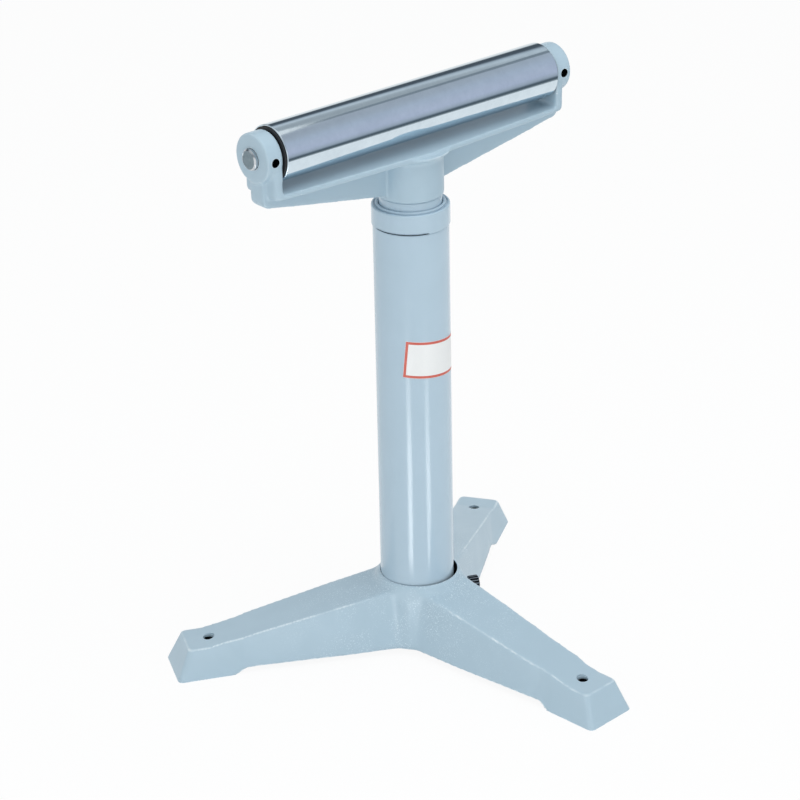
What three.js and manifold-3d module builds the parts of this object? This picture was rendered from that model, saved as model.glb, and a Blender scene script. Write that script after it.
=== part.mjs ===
// Roller stand: a cast tripod base, a telescoping round column and a steel roller in a cast yoke.
// Units are millimetres and +Z is up. The column axis is modelled at X = Y = 0 with the roller along X,
// and the finished stand is then moved so that the middle of its footprint lies on the origin.

import * as THREE from 'three';
import { mergeVertices } from 'three/addons/utils/BufferGeometryUtils.js';
import Module from 'manifold-3d';

// Fits: the gap left between pieces that seat on each other, and the running gap of moving ones.
const SEAT_GAP = 0.3;
const RUNNING_GAP = 0.35;

// Tripod casting.
const BASE_HEIGHT = 73;
const HUB_FLOOR_RADIUS = 52.5;
const HUB_SHOULDER = 5;
const HUB_FILLET = 12;
const HUB_UNDERSIDE = 6;
const BORE_DIAMETER = 77;
const BORE_CHAMFER = 0.8;
const BORE_FLOOR_THICKNESS = 10;
const CORE_HOLE_DIAMETER = 40;
const SIDE_DRAFT = 0.105;
const LEFT_LEG_AZIMUTH = 155;
const FRONT_LEG_AZIMUTH = 275;
const REAR_LEG_AZIMUTH = 393.3;
const LEG_ROOT_HALF_WIDTH = 37;
const LEG_NECK_HALF_WIDTH = 25.4;
const LEG_NECK_REACH = 196;
const LEG_TOP_FALL = 0.192;
const LEG_EDGE_RADIUS = 3.5;
const LEG_ARCH_END = 186;
const LEG_ARCH_RISE = 5;
const FOOT_REACH = 255;
const FOOT_START = 207;
const FOOT_HALF_WIDTH = 27.5;
const FOOT_TOP = 31.6;
const FOOT_END_DRAFT = 0.44;
const FOOT_CORNER_RADIUS = 5;
const FOOT_HOLE_CIRCLE_RADIUS = 217.4;
const FOOT_HOLE_DIAMETER = 10.5;
const CASTING_WALL = 9;
const POCKET_START = 62;

// Column tube and its guide collar.
const TUBE_OD = 73;
const TUBE_WALL = 3.5;
const TUBE_LENGTH = 429;
const COLLAR_OD = 75.2;
const COLLAR_HEIGHT = 20;
const COLLAR_EDGE = 1.2;

// Sliding post.
const POST_OD = 60.3;
const POST_WALL = 4;
const POST_TOP_CHAMFER = 1;
const POST_SHOWING = 9.5;
const HEIGHT_TRAVEL = 380;
const PLUG_FLANGE_THICKNESS = 5;
const PLUG_SPIGOT_LENGTH = 22;
const GUIDE_RING_HEIGHT = 14;
const GUIDE_NECK_DEPTH = 2;

// Socket screws with fluted heads.
const SCREW_DIAMETER = 10;
const SCREW_HEAD_DIAMETER = 16;
const SCREW_HEAD_LENGTH = 10;
const SCREW_FLUTES = 16;
const FLUTE_DEPTH = 0.6;
const SCREW_SOCKET_FLATS = 8;
const SCREW_SOCKET_DEPTH = 6;
const SCREW_POINT = 1;
const SCREW_STANDOFF = 4;
const CLAMP_SCREW_HEIGHT = 45.5;
const LOCK_SCREW_AZIMUTH = 49;
const LOCK_PAD_LENGTH = 3;
const LOCK_PAD_CHAMFER = 0.5;

// Yoke casting.
const YOKE_HUB_DIAMETER = 64;
const YOKE_HUB_HEIGHT = 43.2;
const YOKE_HUB_CHAMFER = 0.8;
const YOKE_HUB_FILLET = 6;
const YOKE_FILLET_SWEEP = 68;
const YOKE_SPIGOT_LENGTH = 40;
const CROSS_PIN_DIAMETER = 8;
const CROSS_PIN_CHAMFER = 0.6;
const FLANGE_THICKNESS = 5.5;
const FLANGE_EDGE = 1.2;
const FLANGE_BULGE_ANGLE = 15;
const EAR_HALF_WIDTH = 22.5;
const EAR_THICKNESS = 9.6;
const EAR_CORNER_RADIUS = 7;
const EAR_EDGE = 1.2;
const WEB_THICKNESS_AT_HUB = 8;
const WEB_THICKNESS_AT_EAR = 19;
const WEB_EDGE = 1.5;
const WEB_DEPTH_AT_HUB = 38;
const WEB_DEPTH_AT_EAR = 11.4;
const WEB_CORNER_RADIUS = 8;
const EAR_RIB = 4.5;
const BOSS_DIAMETER = 47.5;
const BOSS_WIDTH = 17.8;
const BOSS_EDGE = 1.6;
const SET_SCREW_HOLE = 8.6;
const SET_SCREW_LENGTH = 6;
const SET_SCREW_SOCKET_FLATS = 4;
const SET_SCREW_SOCKET_DEPTH = 3;

// Roller, axle and ball bearings.
const ROLLER_OD = 54;
const ROLLER_LENGTH = 332;
const ROLLER_WALL = 7;
const ROLLER_CHAMFER = 1.1;
const ROLLER_CLEARANCE = 6;
const ROLLER_END_GAP = 2.4;
const AXLE_DIAMETER = 20;
const AXLE_OVERHANG = 4.1;
const AXLE_CHAMFER = 1.4;
const BEARING_OD = 42;
const BEARING_WIDTH = 12;
const BEARING_INSET = 4;
const BEARING_PITCH_DIAMETER = 31;
const RACE_LAND = 2.3;
const BALL_DIAMETER = 6;
const BALL_COUNT = 9;
const CAGE_THICKNESS = 1.6;
const CAGE_WIDTH = 2.4;
const SEAL_DIAMETER = 50.4;
const SEAL_RECESS = 1.2;
const SEAL_THICKNESS = 2.2;
const SPACER_WALL = 2.4;

// Facets round a full turn, and steps along the rounded corners.
const COLUMN_FACETS = 36;
const ROUND_FACETS = 32;
const BEARING_FACETS = 27;
const SMALL_FACETS = 16;
const BALL_FACETS = 8;
const FLUTE_STEPS = 3;
const FILLET_STEPS = 4;
const CORNER_STEPS = 3;
const EDGE_STEPS = 2;

// How far a hole is cut past the face it opens in.
const CUT_PAST = 1;

// Heights and radii that follow from the driving sizes.
const boreRadius = BORE_DIAMETER / 2;
const boreFloor = HUB_UNDERSIDE + BORE_FLOOR_THICKNESS;
const tubeRadius = TUBE_OD / 2;
const tubeBore = tubeRadius - TUBE_WALL;
const tubeBottom = boreFloor + SEAT_GAP;
const tubeTop = tubeBottom + TUBE_LENGTH;
const collarRadius = COLLAR_OD / 2;
const collarBottom = tubeTop + SEAT_GAP;
const collarTop = collarBottom + COLLAR_HEIGHT;
const lockHeight = collarBottom + COLLAR_HEIGHT / 2;
const postRadius = POST_OD / 2;
const postBore = postRadius - POST_WALL;
const collarBore = postRadius + RUNNING_GAP;
const plugFlangeTop = boreFloor + SEAT_GAP + PLUG_FLANGE_THICKNESS;
const postBottom = plugFlangeTop + SEAT_GAP;
const guideTop = postBottom + GUIDE_RING_HEIGHT;
const guideShoulder = guideTop + SEAT_GAP;
const guideNeckRadius = postRadius - GUIDE_NECK_DEPTH;
const skirtBottom = guideTop + HEIGHT_TRAVEL + SEAT_GAP;
const yokeBottom = collarTop + POST_SHOWING;
const postTop = yokeBottom - SEAT_GAP;
const yokeHubRadius = YOKE_HUB_DIAMETER / 2;
const spigotRadius = postBore - SEAT_GAP;
const pinHeight = yokeBottom - YOKE_SPIGOT_LENGTH / 2;
const flangeBottom = yokeBottom + YOKE_HUB_HEIGHT;
const flangeTop = flangeBottom + FLANGE_THICKNESS;
const rollerRadius = ROLLER_OD / 2;
const axisHeight = flangeTop + ROLLER_CLEARANCE + rollerRadius;
const earInner = ROLLER_LENGTH / 2 + ROLLER_END_GAP;
const earOuter = earInner + EAR_THICKNESS;
const bossRadius = BOSS_DIAMETER / 2;
const bossOuter = earInner + BOSS_WIDTH;
const bossMiddle = earInner + BOSS_WIDTH / 2;
const axleRadius = AXLE_DIAMETER / 2;
const axleBore = axleRadius + SEAT_GAP;
const axleEnd = bossOuter + AXLE_OVERHANG;
const screwRadius = SCREW_DIAMETER / 2;
const screwHole = screwRadius + SEAT_GAP;

// The clamp screw stands opposite the left leg and pushes the tube against the far wall of the bore.
const clampAzimuth = LEFT_LEG_AZIMUTH + 180;
const baseShift = boreRadius - tubeRadius - SEAT_GAP;

const wasm = await Module();
wasm.setup();

/** Turns a closed three.js geometry into a solid that can be joined and cut. */
function solid(geometry) {
  const bare = geometry.clone();
  bare.deleteAttribute('normal');
  bare.deleteAttribute('uv');
  const merged = mergeVertices(bare);
  const corners = merged.index.array;
  const triangles = [];
  for (let i = 0; i < corners.length; i += 3) {
    const [a, b, c] = corners.slice(i, i + 3);
    if (a !== b && b !== c && c !== a) triangles.push(a, b, c);
  }
  return new wasm.Manifold(new wasm.Mesh({
    numProp: 3,
    vertProperties: merged.attributes.position.array,
    triVerts: new Uint32Array(triangles),
  }));
}

/** Turns a joined or cut solid back into a three.js geometry. */
function shape(manifold) {
  const mesh = manifold.getMesh();
  const geometry = new THREE.BufferGeometry();
  geometry.setAttribute('position', new THREE.BufferAttribute(mesh.vertProperties, 3));
  geometry.setIndex(new THREE.BufferAttribute(mesh.triVerts, 1));
  geometry.computeVertexNormals();
  return geometry;
}

const joined = (first, ...others) => others.reduce((sum, other) => sum.add(other), first);
const cut = (first, ...others) => others.reduce((rest, other) => rest.subtract(other), first);

/** Revolves a profile of [radius, height] points about Z, listed upwards along its outer side. */
function turned(profile, facets = ROUND_FACETS) {
  const points = profile.map(([radius, height]) => new THREE.Vector2(radius, height));
  return new THREE.LatheGeometry(points, facets).rotateX(Math.PI / 2);
}

/** A round bar along Z with chamfered ends. */
function bar(radius, from, to, chamfer = 0, facets = ROUND_FACETS) {
  const ends = chamfer > 0;
  const low = ends ? [[radius - chamfer, from], [radius, from + chamfer]] : [[radius, from]];
  const high = ends ? [[radius, to - chamfer], [radius - chamfer, to]] : [[radius, to]];
  return turned([[0, from], ...low, ...high, [0, to]], facets);
}

/** A tube or washer along Z with chamfered outer edges. */
function tube(outer, inner, from, to, chamfer = 0, facets = ROUND_FACETS) {
  const ends = chamfer > 0;
  const low = ends ? [[outer - chamfer, from], [outer, from + chamfer]] : [[outer, from]];
  const high = ends ? [[outer, to - chamfer], [outer - chamfer, to]] : [[outer, to]];
  return turned([...low, ...high, [inner, to], [inner, from], low[0]], facets);
}

/** Skins a stack of matching rings of points into one closed solid, with flat ends. */
function lofted(rings) {
  const size = rings[0].length;
  const ends = [rings[0], rings[rings.length - 1]];
  const hubs = ends.map((ring) => ring
    .reduce((sum, point) => sum.add(point), new THREE.Vector3())
    .divideScalar(size));
  const points = [...rings.flat(), ...hubs];
  const lastStart = (rings.length - 1) * size;
  const faces = [];
  for (let i = 0; i < size; i += 1) {
    const next = (i + 1) % size;
    faces.push(rings.length * size, next, i);
    faces.push(rings.length * size + 1, lastStart + i, lastStart + next);
    for (let row = 0; row < lastStart; row += size) {
      faces.push(row + i, row + next, row + size + next);
      faces.push(row + i, row + size + next, row + size + i);
    }
  }
  return new THREE.BufferGeometry().setFromPoints(points).setIndex(faces);
}

/** Extrudes an outline of [across, up] points along Y, centred, with rounded edges. */
function plate(outline, thickness, edge) {
  const flat = new THREE.Shape(outline.map(([x, z]) => new THREE.Vector2(x, z)));
  const geometry = new THREE.ExtrudeGeometry(flat, {
    depth: thickness - 2 * edge,
    bevelThickness: edge,
    bevelSize: edge,
    bevelOffset: -edge,
    bevelSegments: 1,
  });
  return geometry.translate(0, 0, edge - thickness / 2).rotateX(Math.PI / 2);
}

const radians = THREE.MathUtils.degToRad;
const towards = (azimuth, radius, height = 0) => new THREE.Vector3(
  radius * Math.cos(radians(azimuth)),
  radius * Math.sin(radians(azimuth)),
  height,
);

// Tripod base.

const legAzimuths = [LEFT_LEG_AZIMUTH, FRONT_LEG_AZIMUTH, REAR_LEG_AZIMUTH];

/** Angle from one leg halfway round to the next one, anticlockwise. */
function halfGap(leg) {
  const next = legAzimuths[leg + 1] ?? legAzimuths[0] + 360;
  return radians(next - legAzimuths[leg]) / 2;
}

/** Half of one leg's outline at a height, from halfway to the next leg out to the middle of its foot. */
function legOutline(height, sector) {
  const inset = height * SIDE_DRAFT;
  const hub = HUB_FLOOR_RADIUS - inset;
  const root = new THREE.Vector2(0, LEG_ROOT_HALF_WIDTH - inset);
  const neck = new THREE.Vector2(LEG_NECK_REACH, LEG_NECK_HALF_WIDTH - inset);
  const along = neck.clone().sub(root).normalize();
  const outward = new THREE.Vector2(-along.y, along.x);
  const offset = root.clone().addScaledVector(outward, HUB_FILLET);
  const lead = offset.dot(along);
  const run = Math.sqrt(lead ** 2 - offset.lengthSq() + (hub + HUB_FILLET) ** 2) - lead;
  const centre = offset.addScaledVector(along, run);
  const fillet = new THREE.EllipseCurve(
    centre.x,
    centre.y,
    HUB_FILLET,
    HUB_FILLET,
    centre.angle() + Math.PI,
    outward.angle() + Math.PI,
  );
  const round = new THREE.EllipseCurve(0, 0, hub, hub, sector, centre.angle(), true);
  const end = FOOT_REACH - height * FOOT_END_DRAFT;
  const half = FOOT_HALF_WIDTH - inset;
  const corner = new THREE.EllipseCurve(
    end - FOOT_CORNER_RADIUS,
    half - FOOT_CORNER_RADIUS,
    FOOT_CORNER_RADIUS,
    FOOT_CORNER_RADIUS,
    Math.PI / 2,
    0,
    true,
  );
  return {
    side: [...round.getPoints(EDGE_STEPS), ...fillet.getPoints(FILLET_STEPS).slice(1), neck],
    foot: [new THREE.Vector2(FOOT_START, half), ...corner.getPoints(CORNER_STEPS)],
  };
}

/** The whole outline of the casting at a height. */
function baseOutline(height) {
  const half = (sector) => {
    const { side, foot } = legOutline(height, sector);
    return [...side, ...foot];
  };
  return legAzimuths.flatMap((azimuth, leg) => {
    const before = halfGap((leg + legAzimuths.length - 1) % legAzimuths.length);
    const right = half(before).map((point) => new THREE.Vector2(point.x, -point.y));
    const left = half(halfGap(leg)).slice(1).reverse();
    return [...right, ...left].map((point) => {
      const place = point.rotateAround(new THREE.Vector2(), radians(azimuth));
      return new THREE.Vector3(place.x, place.y, height);
    });
  });
}

const legTop = (reach) => Math.max(BASE_HEIGHT - reach * LEG_TOP_FALL, FOOT_TOP);

/** Upper and lower faces of one leg along its length, wider than the leg below its rounded edges. */
function legEnvelope() {
  const skirt = 2 * FOOT_HALF_WIDTH;
  const { side, foot } = legOutline(0, halfGap(0));
  const stations = [
    { reach: 0, half: side[0].y, under: HUB_UNDERSIDE },
    ...side.slice(0, -1).map((point) => ({ reach: point.x, half: point.y, under: HUB_UNDERSIDE })),
    { reach: LEG_ARCH_END, half: LEG_NECK_HALF_WIDTH, under: LEG_ARCH_RISE },
    { reach: foot[0].x, half: foot[0].y, under: -CUT_PAST },
    { reach: (BASE_HEIGHT - FOOT_TOP) / LEG_TOP_FALL, half: foot[0].y, under: -CUT_PAST },
    { reach: FOOT_REACH + CUT_PAST, half: foot[0].y, under: -CUT_PAST },
  ];
  stations.sort((first, second) => first.reach - second.reach);
  return lofted(stations.map(({ reach, half, under }) => {
    const top = legTop(reach);
    const width = half - top * SIDE_DRAFT;
    const edge = new THREE.EllipseCurve(
      width - LEG_EDGE_RADIUS,
      top - LEG_EDGE_RADIUS,
      LEG_EDGE_RADIUS,
      LEG_EDGE_RADIUS,
      0,
      Math.PI / 2,
    ).getPoints(EDGE_STEPS);
    const right = [new THREE.Vector2(width + skirt, under), ...edge];
    const left = right.map((point) => new THREE.Vector2(-point.x, point.y)).reverse();
    return [...right, ...left].map((point) => new THREE.Vector3(reach, point.x, point.y));
  }));
}

/** The hollow that is cast into the underside of one leg. */
function legPocket() {
  const { side } = legOutline(0, halfGap(0));
  const widest = side[side.length - 2].y - CASTING_WALL;
  const ends = [
    { reach: POCKET_START, half: widest },
    { reach: LEG_NECK_REACH, half: LEG_NECK_HALF_WIDTH - CASTING_WALL },
  ];
  return lofted(ends.map(({ reach, half }) => {
    const top = legTop(reach) - CASTING_WALL;
    const narrow = half - top * SIDE_DRAFT;
    return [[half, -CUT_PAST], [narrow, top], [-narrow, top], [-half, -CUT_PAST]]
      .map(([across, up]) => new THREE.Vector3(reach, across, up));
  }));
}

function tripodBase() {
  const hubTopRadius = HUB_FLOOR_RADIUS - BASE_HEIGHT * SIDE_DRAFT;
  const shoulder = new THREE.EllipseCurve(
    hubTopRadius - HUB_SHOULDER,
    BASE_HEIGHT - HUB_SHOULDER,
    HUB_SHOULDER,
    HUB_SHOULDER,
    0,
    Math.PI / 2,
  ).getPoints(CORNER_STEPS);
  const hub = turned([
    [0, HUB_UNDERSIDE],
    [HUB_FLOOR_RADIUS - HUB_UNDERSIDE * SIDE_DRAFT, HUB_UNDERSIDE],
    ...shoulder.map((point) => [point.x, point.y]),
    [0, BASE_HEIGHT],
  ], COLUMN_FACETS);
  const hole = bar(FOOT_HOLE_DIAMETER / 2, -CUT_PAST, BASE_HEIGHT + CUT_PAST, 0, SMALL_FACETS)
    .translate(FOOT_HOLE_CIRCLE_RADIUS, 0, 0);
  const around = (geometry) => legAzimuths.map((azimuth) => (
    solid(geometry.clone().rotateZ(radians(azimuth)))));
  const walls = solid(lofted([baseOutline(0), baseOutline(BASE_HEIGHT)]));
  const bore = solid(turned([
    [0, boreFloor],
    [boreRadius, boreFloor],
    [boreRadius, BASE_HEIGHT - BORE_CHAMFER],
    [boreRadius + 2 * BORE_CHAMFER, BASE_HEIGHT + BORE_CHAMFER],
    [0, BASE_HEIGHT + BORE_CHAMFER],
  ], COLUMN_FACETS));
  const core = solid(bar(CORE_HOLE_DIAMETER / 2, 0, boreFloor + CUT_PAST));
  const tapped = solid(bar(screwHole, 0, HUB_FLOOR_RADIUS + CUT_PAST, 0, SMALL_FACETS)
    .rotateY(Math.PI / 2)
    .rotateZ(radians(clampAzimuth))
    .translate(0, 0, CLAMP_SCREW_HEIGHT));
  const casting = joined(solid(hub), ...around(legEnvelope())).intersect(walls);
  return shape(cut(casting, ...around(legPocket()), ...around(hole), bore, core, tapped));
}

// Column.

function columnTube() {
  return tube(tubeRadius, tubeBore, tubeBottom, tubeTop, 0, COLUMN_FACETS);
}

/** Flanged bush on the tube: its skirt stops the guide ring at full height. */
function columnCollar() {
  const bush = turned([
    [tubeBore - SEAT_GAP, skirtBottom],
    [tubeBore - SEAT_GAP, collarBottom],
    [collarRadius, collarBottom],
    [collarRadius, collarTop - COLLAR_EDGE],
    [collarRadius - COLLAR_EDGE, collarTop],
    [collarBore + COLLAR_EDGE, collarTop],
    [collarBore, collarTop - COLLAR_EDGE],
    [collarBore, skirtBottom],
    [tubeBore - SEAT_GAP, skirtBottom],
  ], COLUMN_FACETS);
  const tapped = bar(screwHole, 0, collarRadius + CUT_PAST, 0, SMALL_FACETS)
    .rotateY(Math.PI / 2)
    .rotateZ(radians(LOCK_SCREW_AZIMUTH))
    .translate(0, 0, lockHeight);
  return shape(cut(solid(bush), solid(tapped)));
}

/** Six-sided bar along Z, measured across its flats. */
function hexagon(flats, from, to) {
  return bar(flats / Math.sqrt(3), from, to, 0, 6);
}

/** Socket screw along Z: its tip at zero, its fluted head past the length under the head. */
function flutedScrew(underHead) {
  const steps = SCREW_FLUTES * FLUTE_STEPS;
  const rim = Array.from({ length: steps }, (_, step) => {
    const angle = (step / steps) * 2 * Math.PI;
    const dip = FLUTE_DEPTH * (1 - Math.cos(angle * SCREW_FLUTES)) / 2;
    const radius = SCREW_HEAD_DIAMETER / 2 - dip;
    return new THREE.Vector2(radius * Math.cos(angle), radius * Math.sin(angle));
  });
  const head = new THREE.ExtrudeGeometry(new THREE.Shape(rim), {
    depth: SCREW_HEAD_LENGTH,
    bevelEnabled: false,
  }).translate(0, 0, underHead);
  const top = underHead + SCREW_HEAD_LENGTH;
  const shank = bar(screwRadius, 0, underHead + SCREW_POINT, SCREW_POINT, SMALL_FACETS);
  const socket = hexagon(SCREW_SOCKET_FLATS, top - SCREW_SOCKET_DEPTH, top + CUT_PAST);
  return shape(cut(joined(solid(head), solid(shank)), solid(socket)));
}

/** Headless socket screw along Z with its tip at zero. */
function setScrew() {
  const body = bar(SET_SCREW_HOLE / 2 - SEAT_GAP, 0, SET_SCREW_LENGTH, SCREW_POINT, SMALL_FACETS);
  const socket = hexagon(
    SET_SCREW_SOCKET_FLATS,
    SET_SCREW_LENGTH - SET_SCREW_SOCKET_DEPTH,
    SET_SCREW_LENGTH + CUT_PAST,
  );
  return shape(cut(solid(body), solid(socket)));
}

// Post.

function crossPinHole() {
  return solid(bar(CROSS_PIN_DIAMETER / 2 + SEAT_GAP, -POST_OD, POST_OD, 0, SMALL_FACETS)
    .rotateX(Math.PI / 2)
    .translate(0, 0, pinHeight));
}

function innerPost() {
  const wall = turned([
    [guideNeckRadius, postBottom],
    [guideNeckRadius, guideShoulder],
    [postRadius, guideShoulder],
    [postRadius, postTop - POST_TOP_CHAMFER],
    [postRadius - POST_TOP_CHAMFER, postTop],
    [postBore, postTop],
    [postBore, postBottom],
    [guideNeckRadius, postBottom],
  ], COLUMN_FACETS);
  return shape(cut(solid(wall), crossPinHole()));
}

function postEndPlug() {
  return turned([
    [0, boreFloor + SEAT_GAP],
    [postRadius, boreFloor + SEAT_GAP],
    [postRadius, plugFlangeTop],
    [postBore - SEAT_GAP, plugFlangeTop],
    [postBore - SEAT_GAP, plugFlangeTop + PLUG_SPIGOT_LENGTH],
    [0, plugFlangeTop + PLUG_SPIGOT_LENGTH],
  ], COLUMN_FACETS);
}

function postGuideRing() {
  return tube(
    tubeBore - RUNNING_GAP,
    guideNeckRadius + RUNNING_GAP,
    postBottom,
    guideTop,
    0,
    COLUMN_FACETS,
  );
}

// Yoke.

/** Flange under the roller: as wide as the hub in the middle, as wide as the ears at its ends. */
function yokeFlange() {
  const spread = radians(FLANGE_BULGE_ANGLE);
  const bulge = new THREE.EllipseCurve(
    0,
    0,
    yokeHubRadius + FLANGE_EDGE,
    yokeHubRadius + FLANGE_EDGE,
    Math.PI / 2 + spread,
    Math.PI / 2 - spread,
    true,
  ).getPoints(FILLET_STEPS);
  const far = [
    new THREE.Vector2(-earOuter + EAR_CORNER_RADIUS, EAR_HALF_WIDTH),
    ...bulge,
    new THREE.Vector2(earOuter - EAR_CORNER_RADIUS, EAR_HALF_WIDTH),
  ];
  const near = far.map((point) => new THREE.Vector2(point.x, -point.y)).reverse();
  const outline = new THREE.Shape([...far, ...near].reverse());
  return new THREE.ExtrudeGeometry(outline, {
    depth: FLANGE_THICKNESS - 2 * FLANGE_EDGE,
    bevelThickness: FLANGE_EDGE,
    bevelSize: FLANGE_EDGE,
    bevelOffset: -FLANGE_EDGE,
    bevelSegments: 1,
  }).translate(0, 0, flangeBottom + FLANGE_EDGE);
}

/** Right-hand web under the flange: deep and thin at the hub, thick at the ear, then up it as a rib. */
function yokeWeb() {
  const underFlange = flangeTop - FLANGE_EDGE;
  const section = (across, lift, top) => {
    const share = (across - yokeHubRadius) / (earInner - yokeHubRadius);
    const depth = THREE.MathUtils.lerp(WEB_DEPTH_AT_HUB, WEB_DEPTH_AT_EAR, share);
    const half = THREE.MathUtils.lerp(WEB_THICKNESS_AT_HUB, WEB_THICKNESS_AT_EAR, share) / 2;
    const low = flangeBottom - depth + lift;
    const right = [[half - WEB_EDGE, low], [half, low + WEB_EDGE], [half, top]];
    const left = right.map(([y, z]) => [-y, z]).reverse();
    return [...right, ...left].map(([y, z]) => new THREE.Vector3(across, y, z));
  };
  const corner = new THREE.EllipseCurve(
    earOuter + EAR_RIB - WEB_CORNER_RADIUS,
    WEB_CORNER_RADIUS,
    WEB_CORNER_RADIUS,
    WEB_CORNER_RADIUS,
    -Math.PI / 2,
    0,
  ).getPoints(FILLET_STEPS);
  return lofted([
    section(yokeHubRadius / 2, 0, underFlange),
    section(earInner + EAR_EDGE, 0, underFlange),
    ...corner.map((point) => section(point.x, point.y, axisHeight)),
  ]);
}

/** Ear on the right-hand end, from under the flange up to the axle. */
function yokeEar() {
  const low = flangeBottom;
  const corner = new THREE.EllipseCurve(
    earOuter - EAR_CORNER_RADIUS,
    low + EAR_CORNER_RADIUS,
    EAR_CORNER_RADIUS,
    EAR_CORNER_RADIUS,
    -Math.PI / 2,
    0,
  ).getPoints(CORNER_STEPS);
  return plate([
    [earInner, axisHeight],
    [earInner, low],
    ...corner.map((point) => [point.x, point.y]),
    [earOuter, axisHeight],
  ], 2 * EAR_HALF_WIDTH, EAR_EDGE);
}

function yokeCasting() {
  const fillet = new THREE.EllipseCurve(
    yokeHubRadius + YOKE_HUB_FILLET,
    flangeBottom - YOKE_HUB_FILLET,
    YOKE_HUB_FILLET,
    YOKE_HUB_FILLET,
    Math.PI,
    Math.PI - radians(YOKE_FILLET_SWEEP),
    true,
  ).getPoints(FILLET_STEPS);
  const last = fillet[fillet.length - 1];
  const neck = solid(turned([
    [0, yokeBottom - YOKE_SPIGOT_LENGTH],
    [spigotRadius, yokeBottom - YOKE_SPIGOT_LENGTH],
    [spigotRadius, yokeBottom],
    [yokeHubRadius - YOKE_HUB_CHAMFER, yokeBottom],
    [yokeHubRadius, yokeBottom + YOKE_HUB_CHAMFER],
    ...fillet.map((point) => [point.x, point.y]),
    [last.x - YOKE_HUB_FILLET, flangeBottom + FLANGE_EDGE],
    [0, flangeBottom + FLANGE_EDGE],
  ], COLUMN_FACETS));
  const boss = bar(bossRadius, earInner, bossOuter, BOSS_EDGE)
    .rotateY(Math.PI / 2)
    .translate(0, 0, axisHeight);
  const ends = [0, Math.PI].flatMap((turn) => (
    [boss, yokeEar(), yokeWeb()].map((geometry) => solid(geometry.clone().rotateZ(turn)))));
  const axleHole = solid(bar(axleBore, -axleEnd, axleEnd)
    .rotateY(Math.PI / 2)
    .translate(0, 0, axisHeight));
  const screwHoles = [bossMiddle, -bossMiddle].map((across) => (
    solid(bar(SET_SCREW_HOLE / 2, 0, 2 * bossRadius, 0, SMALL_FACETS)
      .rotateX(Math.PI / 2)
      .translate(across, 0, axisHeight))));
  const body = joined(solid(yokeFlange()), neck, ...ends);
  return shape(cut(body, axleHole, crossPinHole(), ...screwHoles));
}

// Roller and bearings, along Z, with the outer end of the right-hand side at the top.

const halfRoller = ROLLER_LENGTH / 2;
const bearingTop = halfRoller - BEARING_INSET;
const bearingBottom = bearingTop - BEARING_WIDTH;
const bearingMiddle = (bearingTop + bearingBottom) / 2;
const pitchRadius = BEARING_PITCH_DIAMETER / 2;
const grooveRadius = BALL_DIAMETER / 2 + SEAT_GAP;

/** Shell with a counterbore for a bearing and a recess for a seal at each end. */
function rollerShell() {
  const seat = BEARING_OD / 2;
  const seal = SEAL_DIAMETER / 2;
  const middle = rollerRadius - ROLLER_WALL;
  const upper = [
    [rollerRadius, halfRoller - ROLLER_CHAMFER],
    [rollerRadius - ROLLER_CHAMFER, halfRoller],
    [seal, halfRoller],
    [seal, halfRoller - SEAL_RECESS],
    [seat, halfRoller - SEAL_RECESS],
    [seat, bearingBottom - SEAT_GAP],
    [middle, bearingBottom - SEAT_GAP],
  ];
  const lower = upper.map(([radius, height]) => [radius, -height]).reverse();
  return turned([...upper, ...lower, upper[0]], COLUMN_FACETS);
}

/** Groove round a race at the middle of the bearing, from one land to the other. */
function grooveArc(land, from, to) {
  const reach = Math.sqrt(grooveRadius ** 2 - (pitchRadius - land) ** 2);
  const angle = Math.atan2(reach, Math.abs(pitchRadius - land));
  const centre = land > pitchRadius ? 0 : Math.PI;
  return new THREE.EllipseCurve(
    pitchRadius,
    bearingMiddle,
    grooveRadius,
    grooveRadius,
    centre + from * angle,
    centre + to * angle,
    from > to,
  ).getPoints(FILLET_STEPS).map((point) => [point.x, point.y]);
}

function outerRace() {
  const outer = BEARING_OD / 2 - SEAT_GAP;
  const land = pitchRadius + RACE_LAND;
  return turned([
    [outer, bearingBottom],
    [outer, bearingTop],
    [land, bearingTop],
    ...grooveArc(land, 1, -1),
    [land, bearingBottom],
    [outer, bearingBottom],
  ], BEARING_FACETS);
}

function innerRace() {
  const land = pitchRadius - RACE_LAND;
  return turned([
    [land, bearingBottom],
    ...grooveArc(land, 1, -1),
    [land, bearingTop],
    [axleBore, bearingTop],
    [axleBore, bearingBottom],
    [land, bearingBottom],
  ], BEARING_FACETS);
}

/** Balls held in their cage. */
function ballCage() {
  const ring = tube(
    pitchRadius + CAGE_THICKNESS / 2,
    pitchRadius - CAGE_THICKNESS / 2,
    bearingMiddle - CAGE_WIDTH / 2,
    bearingMiddle + CAGE_WIDTH / 2,
    0,
    2 * BALL_COUNT,
  );
  const balls = Array.from({ length: BALL_COUNT }, (_, ball) => {
    const place = towards(ball * 360 / BALL_COUNT, pitchRadius, bearingMiddle);
    return solid(new THREE.SphereGeometry(BALL_DIAMETER / 2, BALL_FACETS, BALL_FACETS / 2)
      .translate(place.x, place.y, place.z));
  });
  return shape(joined(solid(ring), ...balls));
}

/** Sleeve on the axle from the inner race out to the ear. */
function bearingSpacer() {
  return tube(
    axleBore + SPACER_WALL,
    axleBore,
    bearingTop + SEAT_GAP,
    earInner - SEAT_GAP,
    0,
    BEARING_FACETS,
  );
}

function endSeal() {
  const bottom = halfRoller - SEAL_RECESS + SEAT_GAP;
  return tube(
    SEAL_DIAMETER / 2 - SEAT_GAP,
    axleBore + SPACER_WALL + RUNNING_GAP,
    bottom,
    bottom + SEAL_THICKNESS,
    0,
    ROUND_FACETS,
  );
}

// Finishes.

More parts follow.
